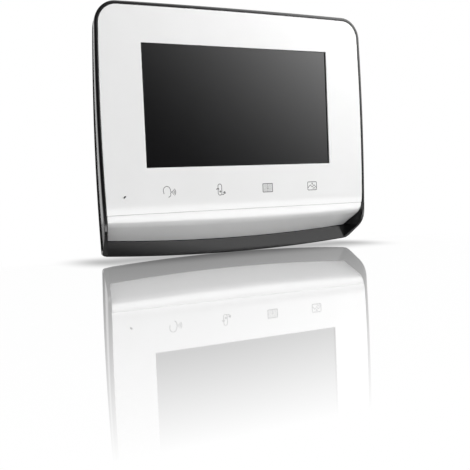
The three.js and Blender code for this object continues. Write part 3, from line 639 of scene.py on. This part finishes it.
def frame_section(point, inward):
    """The frame's section at one point of the outline, as a loop in the row frame."""
    front = cheek_depth(point.y)

    def wall_inset(depth):
        return taper(depth, point.y)

    wall = [(wall_inset(d), d, 0, 0) for d in spread(front, PARTING, 8)[1:-1]]
    rear = [(wall_inset(PARTING), PARTING, 0.25, 2)]
    if point.y > SEAM_Z:
        recess = RIM - GAP / 2
        inner = [
            (wall_inset(PARTING) + WALL, PARTING, 0.15, 1),
            (wall_inset(LEDGE[1]) + WALL, LEDGE[1], 0, 0),
            (LEDGE_INSET, LEDGE[1], 0, 0),
            (LEDGE_INSET, LEDGE[0], 0, 0),
            (recess, LEDGE[0], 0, 0),
            (recess, 0.0, 0.3, 3),
        ]
        edge = 0.8
    else:
        def cheek_inset(depth):
            return max(abs(point.x) - chin_side_x(depth) - GAP / 2, wall_inset(depth) + 0.02)

        between = [(cheek_inset(d), d, 0, 0) for d in spread(PARTING, front, 5)[1:-1]]
        inner = [(cheek_inset(PARTING), PARTING, 0.15, 1), *between, (cheek_inset(front), front, 0.3, 3)]
        edge = 0.7
    corners = [(wall_inset(front), front, edge, 5), *wall, *rear, *inner]
    return [place(point.x + inward.x * p.x, p.y, point.y + inward.y * p.x) for p in rounded(corners)]


def side_openings():
    """Cutters for the switch slot, the card slot and the reset hole in the right side."""
    cutters = bmesh.new()
    low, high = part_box("memory_card")
    depth, _ = middle_of("memory_card")
    add_box(cutters, SIDE_CUT, (depth - 0.8, depth + 0.8), (low.z / MM - 0.6, high.z / MM + 0.6))
    depth, z = middle_of("power_switch")
    add_box(cutters, SIDE_CUT, (depth - 1.0, depth + 1.0), (z - 2.0 - SWITCH_TRAVEL, z + 2.0))
    hole = circle(*middle_of("reset_button"), RESET_HOLE)
    add_skin(cutters, [[place(x, p.x, p.y) for p in hole] for x in SIDE_CUT])
    return cutters


def build_front_frame():
    stations = mirrored(body_half())
    ring = bmesh.new()
    add_skin(ring, [frame_section(p, d) for p, d in stations])
    shell = carved(ring, side_openings())

    def band(x):
        top = chin_edge_z(x) - GAP
        return [(CHIN_END, top, 0.3, 3), (CHIN_END, bottom_z(x), 0.8, 6),
                (PARTING, bottom_z(x), 0.25, 2), (PARTING, top, 0.2, 1)]

    front, back = LEDGE
    low, high = RAIL_Z
    rail = [(depth, z, 0.2, 1) for depth, z in ((front, low), (back, low), (back, high), (front, high))]
    add_bar(shell, [(x, band(x)) for x in spread(-BAND_X, BAND_X, 60)])
    add_bar(shell, [(x, rail) for x in (-RAIL_X, RAIL_X)])
    obj = finish_mesh("front_frame_shell", shell, PAINTS["gloss_black"])
    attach(obj, "monitor")
    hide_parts("front_frame")


# ---------------------------------------------------------------- white plate and chin


def build_front_plate():
    """The plate's face with its window, and a backing set in from the edges that holds the glass."""
    tilt = Matrix.Rotation(MIC_TILT, 2)
    port = [Vector(MIC) + tilt @ p for p in rounded_rect(0, 0, *MIC_PORT)]
    x, z = SCREEN[0] / 2, SCREEN[1] / 2
    window = points((x, -z), (x, z), (-x, z), (-x, -z))
    low = SEAM_Z + SEAM_GAP / 2
    outer = plate_outline(RIM + GAP / 2, low)
    plate = slab_mesh([outer, window, port], (PLATE_FACE, PLATE_LIP + 0.05), 0.22)
    inner = plate_outline(RIM + 0.4, low + 0.25)
    openings = [rounded_rect(0, 0, *PLATE_REBATE), circle(*MIC, MIC_SEAT)]
    merge(plate, slab_mesh([inner, *openings], (PLATE_LIP, PLATE_DEPTH), 0.1, 1))
    for z in [PLATE_BEND_Z + 0.1, *spread(PLATE_BEND_Z, low, 10)[:-1]]:
        bmesh.ops.bisect_plane(plate, geom=[*plate.verts, *plate.edges, *plate.faces],
                               plane_co=place(0, 0, z), plane_no=(0, 0, 1), dist=1e-7)
    for vert in plate.verts:
        drop = max(PLATE_BEND_Z - vert.co.z / MM, 0.0) / (PLATE_BEND_Z - SEAM_Z)
        vert.co.y += PLATE_BEND * drop * drop * MM
    obj = finish_mesh("front_plate_skin", plate, PAINTS["white"], 25.0)
    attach(obj, "monitor")
    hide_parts("front_plate")


def stroke(bm, line, width, closed):
    """A flat stroke of the given width along a line of points, printed on the plate's face."""
    count = len(line)
    pairs = []
    for i, point in enumerate(line):
        before = line[i - 1] if closed or i else point
        after = line[(i + 1) % count] if closed or i < count - 1 else point
        steps = [step.normalized() for step in (point - before, after - point) if step.length > 1e-6]
        along = sum(steps, Vector((0.0, 0.0))).normalized()
        reach = width / 2 / max(along.dot(steps[0]), 0.5)
        side = Vector((-along.y, along.x)) * reach
        pairs.append([bm.verts.new(place(p.x, SIGN_DEPTH, p.y)) for p in (point - side, point + side)])
    for i in range(count if closed else count - 1):
        (a, b), (c, d) = pairs[i], pairs[(i + 1) % count]
        bm.faces.new((a, c, d, b))


def smooth_line(through, steps=5):
    """Points along a smooth curve through the given ones."""
    knots = [through[0] * 2 - through[1], *through, through[-1] * 2 - through[-2]]
    line = []
    for i in range(1, len(knots) - 2):
        a, b, c, d = knots[i - 1:i + 3]
        for t in spread(0.0, 1.0, steps)[:-1]:
            line.append(0.5 * (2 * b + (c - a) * t + (2 * a - 5 * b + 4 * c - d) * t * t
                               + (3 * b - a - 3 * c + d) * t**3))
    return [*line, through[-1]]


def talk_sign():
    head = points((-4.6, -1.3), (-4.95, 1.2), (-4.3, 2.9), (-2.3, 3.9), (-0.5, 3.2), (0.5, 1.5),
                  (0.5, 0.6), (1.2, -0.4), (0.5, -0.9), (0.6, -1.9), (0.1, -3.1), (-1.2, -3.8))
    lines = [(smooth_line(head), 0.46, False)]
    middle = -0.3
    for x, reach, bulge in ((1.8, 0.9, 0.5), (2.7, 1.7, 0.7), (3.6, 2.4, 0.9)):
        wave = points((x, middle - reach), (x + bulge, middle), (x, middle + reach))
        lines.append((smooth_line(wave, 8), 0.45, False))
    return lines


def unlock_sign():
    return [
        (rounded_rect(-0.6, 0.1, 3.0, 8.0, 1.4), 0.48, True),
        (circle(-0.3, -1.3, 0.45, 12), 0.6, True),
        (points((-3.5, 0.3), (-2.2, 1.1), (-1.2, 0.3)), 0.7, False),
        (smooth_line(points((1.0, -3.6), (2.4, -3.4), (3.3, -1.9))), 0.55, False),
        (points((2.0, -2.2), (3.3, -1.5), (3.9, -2.9)), 0.65, False),
    ]


def gate_sign():
    middle = -0.4
    lines = [
        (rounded_rect(middle, 0, 8.4, 6.2, 0.3), 0.55, True),
        (points((middle, 2.9), (middle, -2.9)), 0.34, False),
    ]
    for i in range(6):
        for side in (-1, 1):
            x = middle + side * (0.75 + 0.55 * i)
            lines.append((points((x, 2.7), (x, -2.7)), 0.15, False))
    for side in (-1, 1):
        lines.append((circle(middle + side * 0.55, -0.5, 0.2, 10), 0.2, True))
    return lines


def pictures_sign():
    return [
        (rounded_rect(-0.6, 0, 8.2, 6.2, 0.7), 0.5, True),
        (points((-4.5, -1.4), (-2.3, 0.8), (-0.5, -0.9), (1.1, 0.8), (3.3, -1.5)), 0.45, False),
        (circle(-0.5, 1.7, 0.5, 16), 0.4, True),
        (smooth_line(points((0.0, -2.3), (1.1, -1.4), (2.3, -2.3))), 0.45, False),
    ]


def build_signs():
    """The four touch signs. Each is a list of (line, width, closed) around its key's middle."""
    bm = bmesh.new()
    for i, sign in enumerate((talk_sign(), unlock_sign(), gate_sign(), pictures_sign())):
        centre = Vector(((i - 1.5) * KEY_PITCH, KEY_Z))
        for line, width, closed in sign:
            stroke(bm, [centre + p for p in line], width, closed)
    obj = finish_mesh("touch_signs", bm, PAINTS["sign_ink"])
    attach(obj, "monitor")


def chin_at(length):
    """Depth, height and inward direction on the chin's face, at a length along its section."""
    start_z = SEAM_Z - SEAM_GAP / 2
    bend = CHIN_RADIUS * CHIN_ANGLE
    angle = min(length / CHIN_RADIUS, CHIN_ANGLE)
    rest = max(length - bend, 0.0)
    depth = CHIN_TOP + CHIN_RADIUS * (1 - math.cos(angle)) + rest * math.sin(CHIN_ANGLE)
    z = start_z - CHIN_RADIUS * math.sin(angle) - rest * math.cos(CHIN_ANGLE)
    return depth, z, math.cos(angle), math.sin(angle)


def build_chin():
    start_z = SEAM_Z - SEAM_GAP / 2
    bend = CHIN_RADIUS * CHIN_ANGLE
    bend_end = chin_at(bend)[0]
    total = bend + (CHIN_END - GAP - bend_end) / math.sin(CHIN_ANGLE)
    reach = start_z - chin_at(total)[1]

    def chin_point(share, length, depth):
        at, z, into_depth, into_z = chin_at(length)
        at += depth * into_depth
        z += depth * into_z
        x = share * (chin_side_x(at) - GAP / 2 - depth * 0.5)
        stretch = (start_z - chin_edge_z(x)) / reach
        return place(x, at, start_z + (z - start_z) * stretch)

    def loop(share, shrink):
        face = [(s, shrink, 0, 0) for s in spread(0, bend, 24)[1:] + spread(bend, total, 10)[1:-1]]
        back = [(s, CHIN_THICKNESS - shrink, 0, 0) for s in reversed(spread(0, total, 16)[1:-1])]
        corners = [(shrink, shrink, 0.2, 3), *face, (total - shrink, shrink, 0.3, 3),
                   (total - shrink, CHIN_THICKNESS - shrink, 0.15, 1), *back,
                   (shrink, CHIN_THICKNESS - shrink, 0.15, 1)]
        return [chin_point(share, p.x, p.y) for p in rounded(corners)]

    ends = [(1.0, 0.3), (0.9992, 0.14), (0.998, 0.05), (0.9965, 0.0)]
    shares = [(-s, k) for s, k in ends] + [(s, 0.0) for s in spread(-0.99, 0.99, 60)] + ends[::-1]
    bm = bmesh.new()
    add_skin(bm, [loop(share, shrink) for share, shrink in shares])
    obj = finish_mesh("chin_cover_skin", bm, PAINTS["white"], 40.0)
    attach(obj, "monitor")
    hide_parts("chin_cover")


def build_glass():
    low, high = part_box("display_glass")
    depths = depth_of(low.y), depth_of(high.y)
    size = (high - low) / MM
    bm = slab_mesh([rounded_rect(0, 0, size.x, size.z, 0.8)], depths, 0.12, 2)
    obj = finish_mesh("display_glass_pane", bm, PAINTS["black_glass"])
    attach(obj, "monitor")
    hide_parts("display_glass")


build_front_frame()
build_front_plate()
build_chin()
build_glass()
build_signs()

# ---------------------------------------------------------------- rear cover and wall bracket


def cover_loop(depth, inset):
    """The rear cover's outline at one depth, drawn in evenly by inset."""
    level = Vector((-1.0, 0.0))
    corner = corner_arc(side_x, bottom_z, BOTTOM_RADIUS, -1, 8)
    half = [(p, level, d) for p, d in reversed(corner)] + [(p, d, d) for p, d in body_half()[len(corner):]]
    right = [p + along * taper(depth, p.y) + inward * inset for p, along, inward in half]
    left = [Vector((-p.x, p.y)) for p in reversed(right[:-1])]
    bottom = [Vector((x, bottom_z(x) + inset)) for x in spread(left[-1].x, right[0].x, 40)[1:-1]]
    return [place(p.x, depth, p.y) for p in right + left + bottom]


def add_tongue(bm):
    """The ring on the cover's inside that sits within the front frame."""
    half = [(p, d) for p, d in body_half() if p.y > chin_edge_z(p.x) + TONGUE_TURN]
    stations = [(p + d * taper(PARTING, p.y), d) for p, d in mirrored(half)]
    near, far = TONGUE
    start, end = stations[-1][0].x + near, stations[0][0].x - near
    up = Vector((0.0, 1.0))
    low = [(Vector((x, chin_edge_z(x) + TONGUE_FOOT - near)), up) for x in spread(start, end, 30)]
    section = ((near, TONGUE_END), (far, TONGUE_END), (far, COVER_INSIDE), (near, COVER_INSIDE))
    loops = []
    for p, d in stations + low[1:-1]:
        loops.append([place(p.x + d.x * inset, depth, p.y + d.y * inset) for inset, depth in section])
    add_skin(bm, loops, closed=True)


def cover_openings():
    """Cutters for the cover's wells, and for the holes and slots that go right through it."""
    past = CUT_DEPTHS[1]
    slots = [WIRING_OPENING]
    slots += [(x, z - HOOK_SLOT_DROP, *HOOK_SLOT) for x, z in HOOKS]
    for i in range(VENTS):
        slots.append(((i - (VENTS - 1) / 2) * VENT_PITCH, VENT_Z, VENT_WIDTH, SLIT, SLIT_RADIUS))
    x, z, radius = SPEAKER
    for i in range(SPEAKER_SLOTS):
        offset = (i - (SPEAKER_SLOTS - 1) / 2) * SPEAKER_PITCH
        width = 2 * math.sqrt(radius**2 - offset**2)
        slots.append((x, z + offset, width, SLIT, SLIT_RADIUS))
    outlines = [circle(x, z, SCREW_HOLE) for x, z in COVER_SCREWS] + [rounded_rect(*slot) for slot in slots]
    holes = bmesh.new()
    for outline in outlines:
        add_prism(holes, outline, CUT_DEPTHS)
    wells = bmesh.new()
    add_prism(wells, rounded_rect(*COVER_WELL), (COVER_RECESS, past))
    add_prism(wells, rounded_rect(*COVER_HOLLOW), (PARTING - 0.5, COVER_INSIDE))
    for x, z in COVER_SCREWS:
        add_prism(wells, circle(x, z, SCREW_WELL), (SCREW_SEAT, past))
    return wells, holes


def build_rear_cover():
    start = PARTING + GAP
    loops = [cover_loop(start, 0.2), cover_loop(start + 0.2, 0.0)]
    for angle in spread(0.0, math.pi / 2, 6):
        depth = BACK - COVER_EDGE * (1 - math.sin(angle))
        loops.append(cover_loop(depth, COVER_EDGE * (1 - math.cos(angle))))
    cover = bmesh.new()
    add_skin(cover, loops)
    wells, holes = cover_openings()
    cover = carved(carved(cover, wells), holes)
    add_tongue(cover)
    obj = finish_mesh("rear_cover_shell", cover, PAINTS["matt_black"])
    bevelled(obj, 0.2)
    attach(obj, "monitor")
    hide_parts("rear_cover")


def build_wall_bracket():
    """The steel plate on the wall, with a window above each of the hooks bent out of it."""
    outlines = [rounded_rect(*BRACKET), rounded_rect(*BRACKET_WINDOW)]
    outlines += [rounded_rect(x, z, *WALL_SLOT) for x, z in WALL_SLOTS]
    outlines += [rounded_rect(x, z + STRIP + HOOK_WINDOW[1] / 2, *HOOK_WINDOW) for x, z in HOOKS]
    face = WALL_FACE - STRIP
    bracket = slab_mesh(outlines, (face, WALL_FACE), 0.15, 2)
    front, height = HOOK_LIP
    root = face + 0.4
    for x, z in HOOKS:
        hook = [(root, z, 0.0, 0), (front, z, 1.5, 6), (front, z + height, 0.5, 3),
                (front + STRIP, z + height, 0.5, 3), (front + STRIP, z + STRIP, 0.35, 3),
                (root, z + STRIP, 0.0, 0)]
        add_bar(bracket, [(side, hook) for side in (x - HOOK_HALF, x + HOOK_HALF)])
    obj = finish_mesh("wall_bracket_sheet", bracket, PAINTS["bracket_steel"])
    bevelled(obj, 0.12)
    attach(obj, "wall_bracket")
    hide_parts("wall_bracket")


build_rear_cover()
build_wall_bracket()

# ---------------------------------------------------------------- screws, switch and button


def build_cover_screws():
    """Pan heads with a cross recess, on plain shanks."""
    short, long = CROSS
    for i, (x, z) in enumerate(COVER_SCREWS, 1):
        name = f"cover_screw_{i}"
        low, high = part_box(name)
        tip, top = depth_of(low.y), depth_of(high.y)
        seat = top - SCREW_HEAD_HEIGHT
        profile = [(0.8, tip), (SCREW_SHANK, tip + 1.0), (SCREW_SHANK, seat), (SCREW_HEAD - 0.1, seat),
                   (SCREW_HEAD, seat + 0.1), (SCREW_HEAD, seat + 0.5)]
        for angle in spread(0.0, math.radians(80), 6)[1:]:
            profile.append((SCREW_HEAD * math.cos(angle), seat + 0.5 + 0.7 * math.sin(angle)))
        screw = bmesh.new()
        rings = [(circle(x, z, radius, 40), depth) for radius, depth in profile]
        add_skin(screw, [[place(p.x, depth, p.y) for p in ring] for ring, depth in rings])
        for across, up in ((short, long), (long, short)):
            cross = bmesh.new()
            add_box(cross, (x - across, x + across), (top - CROSS_DEPTH, top + 1.0), (z - up, z + up))
            screw = carved(screw, cross)
        obj = finish_mesh(name + "_head", screw, PAINTS["screw_steel"])
        bevelled(obj, 0.06)
        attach(obj, "monitor")
        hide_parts(name)


def add_stud(bm, at, size, radius, levels):
    """A rounded bar along x around (depth, z), drawn in by an inset at each x."""
    loops = []
    for x, inset in levels:
        width, height = (side - 2 * inset for side in size)
        outline = rounded_rect(*at, width, height, min(radius, width / 2, height / 2), 8)
        loops.append([place(x, p.x, p.y) for p in outline])
    add_skin(bm, loops)


def build_side_keys():
    """The switch's stem, cap and three ridges, and the button with its collar and dished end."""
    low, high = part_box("power_switch")
    depth, z = middle_of("power_switch")
    end = high.x / MM
    switch = bmesh.new()
    add_stud(switch, (depth, z), (1.4, 3.4), 0.3, ((low.x / MM, 0.0), (end - 1.6, 0.0)))
    cap = ((end - 1.75, 0.15), (end - 1.6, 0.0), (end - 1.1, 0.0), (end - 0.9, 0.08), (end - 0.8, 0.3))
    add_stud(switch, (depth, z), (3.0, 5.0), 0.6, cap)
    for shift, crest in ((-1.4, end - 0.45), (0.0, end), (1.4, end - 0.45)):
        ridge = ((end - 1.2, 0.0), (crest - 0.3, 0.0), (crest - 0.1, 0.07), (crest, 0.25))
        add_stud(switch, (depth, z + shift), (2.4, 0.9), 0.3, ridge)
    low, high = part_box("reset_button")
    at = middle_of("reset_button")
    end = high.x / MM
    button = bmesh.new()
    stem = ((low.x / MM, 0.0), (end - 0.35, 0.0), (end - 0.12, 0.08), (end, 0.3), (end - 0.02, 0.6),
            (end - 0.2, 1.1))
    inner, outer = COLLAR_X
    collar = ((inner, 0.1), (inner + 0.1, 0.0), (outer - 0.1, 0.0), (outer, 0.1))
    add_stud(button, at, (3.0, 3.0), 1.5, stem)
    add_stud(button, at, (4.8, 4.8), 2.4, collar)
    for name, bm in (("power_switch", switch), ("reset_button", button)):
        obj = finish_mesh(name + "_cap", bm, PAINTS["matt_black"])
        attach(obj, name)
        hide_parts(name)


build_cover_screws()
build_side_keys()

# ---------------------------------------------------------------- carried-over CAD nodes

SLOTS = {row["node"]: row["material_slot"] for row in frame["record"]["subparts"]}


def dress_cad_nodes():
    """Each CAD node that stays gets its material, smooth shading and fine rounded edges."""
    for name, node in frame["nodes"].items():
        if node.hide_render:
            continue
        node.data.materials.clear()
        node.data.materials.append(PAINTS[SLOTS[name]])
        node.data.shade_smooth()
        bevelled(node, 0.2)
        weigh_normals(node)


dress_cad_nodes()

# ---------------------------------------------------------------- stage, light and camera

# Everything from here on is in metres.
FLOOR_GAP = 0.0001  # from the lowest edge down to the floor
FLOOR_X, FLOOR_Y = (-12.0, 12.0), (-1.1, 12.0)
MIRROR_SHARE = 0.74  # of the light at the object's foot
MIRROR_END, MIRROR_FADE, FADE_SPAN = -0.42, 0.545, (1.9, 7.4)  # fade by 1 / (y + MIRROR_FADE)
MIRROR_LEFT, MIRROR_RIGHT, MIRROR_BEHIND = (-0.36, -0.26), (0.24, 0.14), (0.04, 0.0)
SHADOW_HALF, SHADOW_SIDE = 0.1, 0.042  # half the contact shadow's full width, and its soft end
SHADOW_Y, SHADOW_REACH, SHADOW_DARK = -0.005, 0.07, 0.5

KEY_AXIS = Vector((0.75, -0.4, 0.53)).normalized()
KEY_EDGE, KEY_WIDTH, KEY_TOP = 0.62, 0.2155, 1.15  # cosine where the soft light begins, and its rise
KEY_POWER, KEY_STRENGTH = 3.8, 3.35
DARK, AROUND = 0.06, 0.5  # brightness of the dark room in front and of the white surroundings
AHEAD = (-0.15, -0.6)  # the world turns dark between these two y directions
LAMP_AT, LAMP_SIZE, LAMP_WATTS = Vector((0.42, -0.42, 0.42)), 0.4, 1.6

FLAG_Z, FLAG_DEPTH, FLAG_INSET = (-100.0, 62.0), 30.0, (-2.2, 6.0)  # in millimetres
FLAG_SEEN = (0.034, 0.036)  # ray lengths over which the flag vanishes
CARD_X = (-0.4, 0.7)
BACKDROP = ((-1.0, -0.45), (-1.0, 0.6), (1.0, 0.6), (1.0, -0.45))
BACKDROP_TOP = 1.5

EYE = place(-295.8, -520.1, -59.7)
FORWARD, UP = Vector((0.481, 0.875, -0.057)).normalized(), Vector((0.064, 0.029, 0.998))
LENS = 62.1


def mirror_floor():
    """White floor that mirrors the object, less and less towards the front, with a painted contact shadow
    around the object's foot.
    """
    paint = Paint("floor", (1.0, 1.0, 1.0), 0.5)
    maths = maths_in(paint.tree)
    at = paint.position()
    fade = maths("DIVIDE", 1.0, maths("ADD", maths("MAXIMUM", at["Y"], MIRROR_END), MIRROR_FADE))
    share = paint.remap(fade, MIRROR_SHARE, 0.0, *FADE_SPAN)
    for axis, span in (("Y", MIRROR_BEHIND), ("X", MIRROR_LEFT), ("X", MIRROR_RIGHT)):
        share = maths("MULTIPLY", share, paint.remap(at[axis], 0.0, 1.0, *span))
    mirror = paint.tree.nodes.new("ShaderNodeBsdfAnisotropic")
    mirror.inputs["Roughness"].default_value = 0.02
    mirror.inputs["Color"].default_value = (0.97, 0.97, 0.97, 1.0)
    lit = paint.mix_surface(share, paint.glow(), mirror.outputs["BSDF"])

    # Painted contact shadow: the floor is mixed up to halfway towards black around the object's foot, darkest
    # at its middle.
    beside = maths("SUBTRACT", maths("ABSOLUTE", at["X"], 0.0), SHADOW_HALF)
    beside = maths("DIVIDE", maths("MAXIMUM", beside, 0.0), SHADOW_SIDE)
    before = maths("DIVIDE", maths("SUBTRACT", at["Y"], SHADOW_Y), SHADOW_REACH)
    away = maths("ADD", maths("MULTIPLY", beside, beside), maths("MULTIPLY", before, before))
    contact = maths("POWER", maths("MAXIMUM", maths("SUBTRACT", 1.0, away), 0.0), 3.0)
    paint.mix_surface(maths("MULTIPLY", contact, SHADOW_DARK), lit)
    return paint.material


def only_in_gloss(obj):
    for ray in ("camera", "diffuse", "transmission", "volume_scatter", "shadow"):
        setattr(obj, "visible_" + ray, False)


def sheet(xs, ys, z):
    """A flat rectangle."""
    bm = bmesh.new()
    corners = ((xs[0], ys[0]), (xs[1], ys[0]), (xs[1], ys[1]), (xs[0], ys[1]))
    bm.faces.new([bm.verts.new((x, y, z)) for x, y in corners])
    return bm


def strip(pairs):
    """Faces from each pair of points to the next one."""
    bm = bmesh.new()
    rows = [[bm.verts.new(point) for point in pair] for pair in pairs]
    for (a, b), (c, d) in zip(rows, rows[1:]):
        bm.faces.new((a, b, d, c))
    return bm


def build_stage():
    """A pale mirror floor for the camera, and a duller one that lights the object from below."""
    tone = Paint("floor_tone", (0.84, 0.84, 0.84), 0.6).material
    layers = (("floor", mirror_floor(), 0.0, True), ("floor_tone", tone, 0.001, False))
    for name, material, drop, seen in layers:
        obj = finish_mesh(name, sheet(FLOOR_X, FLOOR_Y, cad_box[0].z - FLOOR_GAP - drop), material)
        obj.visible_camera = seen
        obj.visible_diffuse = not seen
        obj.visible_glossy = not seen


def build_backdrop():
    """White walls on three sides, seen only in gloss."""
    heights = (cad_box[0].z - FLOOR_GAP, BACKDROP_TOP)
    columns = [[(x, y, z) for z in heights] for x, y in BACKDROP]
    paint = Paint("backdrop", (0.0, 0.0, 0.0), 1.0)
    paint.shader.inputs["Emission Color"].default_value = (1.0, 1.0, 1.0, 1.0)
    paint.shader.inputs["Emission Strength"].default_value = 1.0
    walls = finish_mesh("backdrop", strip(columns), paint.material)
    only_in_gloss(walls)


def build_flag():
    """A black strip just behind the left side, seen only in gloss, that keeps the outline dark."""
    rows = []
    for z in spread(*FLAG_Z, 20):
        edge = side_x(z) - taper(BACK, z)
        rows.append([place(inset - edge, FLAG_DEPTH, z) for inset in FLAG_INSET])
    paint = Paint("flag", (0.0, 0.0, 0.0), 1.0)
    length = paint.tree.nodes.new("ShaderNodeLightPath").outputs["Ray Length"]
    far_off = paint.remap(length, 0.0, 1.0, *FLAG_SEEN)
    paint.mix_surface(far_off, paint.shader.outputs["BSDF"], paint.clear())
    flag = finish_mesh("flag", strip(rows), paint.material)
    only_in_gloss(flag)


def build_bounce():
    """Two lit cards in front of the chin, seen only in gloss and only from above."""
    under = cad_box[0].z - FLOOR_GAP - 0.0005
    # name, height, y from far to near, then the axis and span along which the glow rises, and its ends
    cards = (("bounce_low", under, (-0.32, -0.037), "X", (-0.06, 0.03), (0.3, 2.1)),
             ("bounce_high", -0.088, (-0.2, -0.029), "Y", (-0.2, -0.029), (0.0, 5.0)))
    for name, z, ys, axis, span, tones in cards:
        paint = Paint(name, (0.0, 0.0, 0.0), 1.0)
        glow = paint.glow(paint.remap(paint.position()[axis], *tones, *span))
        below = paint.tree.nodes.new("ShaderNodeNewGeometry").outputs["Backfacing"]
        paint.mix_surface(below, glow, paint.clear())
        card = finish_mesh(name, sheet(CARD_X, ys, z), paint.material)
        only_in_gloss(card)


def build_world():
    """White all round, and in front a dark room with one big soft light at the upper right."""
    world = bpy.data.worlds.new("studio")
    world.use_nodes = True
    tree = world.node_tree
    background = tree.nodes["Background"]
    maths = maths_in(tree)

    def mix(low, high, factor):
        return maths("ADD", maths("MULTIPLY", low, maths("SUBTRACT", 1.0, factor)),
                     maths("MULTIPLY", high, factor))

    direction = tree.nodes.new("ShaderNodeTexCoord").outputs["Generated"]
    dot = tree.nodes.new("ShaderNodeVectorMath")
    dot.operation = "DOT_PRODUCT"
    dot.inputs[1].default_value = KEY_AXIS
    tree.links.new(direction, dot.inputs[0])
    rise = maths("DIVIDE", maths("SUBTRACT", dot.outputs["Value"], KEY_EDGE), KEY_WIDTH)
    rise = maths("MINIMUM", maths("MAXIMUM", rise, 0.0), KEY_TOP)
    key = maths("ADD", maths("MULTIPLY", maths("POWER", rise, KEY_POWER), KEY_STRENGTH), DARK)
    split = tree.nodes.new("ShaderNodeSeparateXYZ")
    tree.links.new(direction, split.inputs["Vector"])
    ahead = tree.nodes.new("ShaderNodeMapRange")
    ahead.interpolation_type = "SMOOTHSTEP"
    for name, y in zip(("From Min", "From Max"), AHEAD):
        ahead.inputs[name].default_value = y
    tree.links.new(split.outputs["Y"], ahead.inputs["Value"])
    studio = mix(AROUND, key, ahead.outputs["Result"])
    seen = tree.nodes.new("ShaderNodeLightPath").outputs["Is Camera Ray"]
    tree.links.new(mix(studio, 1.0, seen), background.inputs["Strength"])
    background.inputs["Color"].default_value = (1.0, 1.0, 1.0, 1.0)
    bpy.context.scene.world = world


def build_lamp():
    """A soft light from the upper right in front, left out of the gloss."""
    data = bpy.data.lights.new("key", "AREA")
    data.shape = "RECTANGLE"
    data.size = data.size_y = LAMP_SIZE
    data.energy = LAMP_WATTS
    lamp = bpy.data.objects.new("key", data)
    bpy.context.scene.collection.objects.link(lamp)
    lamp.location = LAMP_AT
    lamp.rotation_euler = (-LAMP_AT).to_track_quat("-Z", "Y").to_euler()
    lamp.visible_glossy = False


def build_camera():
    data = bpy.data.cameras.new("camera")
    data.sensor_width = 36.0
    data.lens = LENS
    data.clip_start = 0.01
    obj = bpy.data.objects.new("camera", data)
    bpy.context.scene.collection.objects.link(obj)
    right = FORWARD.cross(UP).normalized()
    turn = Matrix((right, right.cross(FORWARD), -FORWARD)).transposed().to_4x4()
    obj.matrix_world = Matrix.Translation(EYE) @ turn
    bpy.context.scene.camera = obj
    bpy.context.scene.view_settings.view_transform = "Standard"


build_stage()
build_backdrop()
build_flag()
build_bounce()
build_world()
build_lamp()
build_camera()
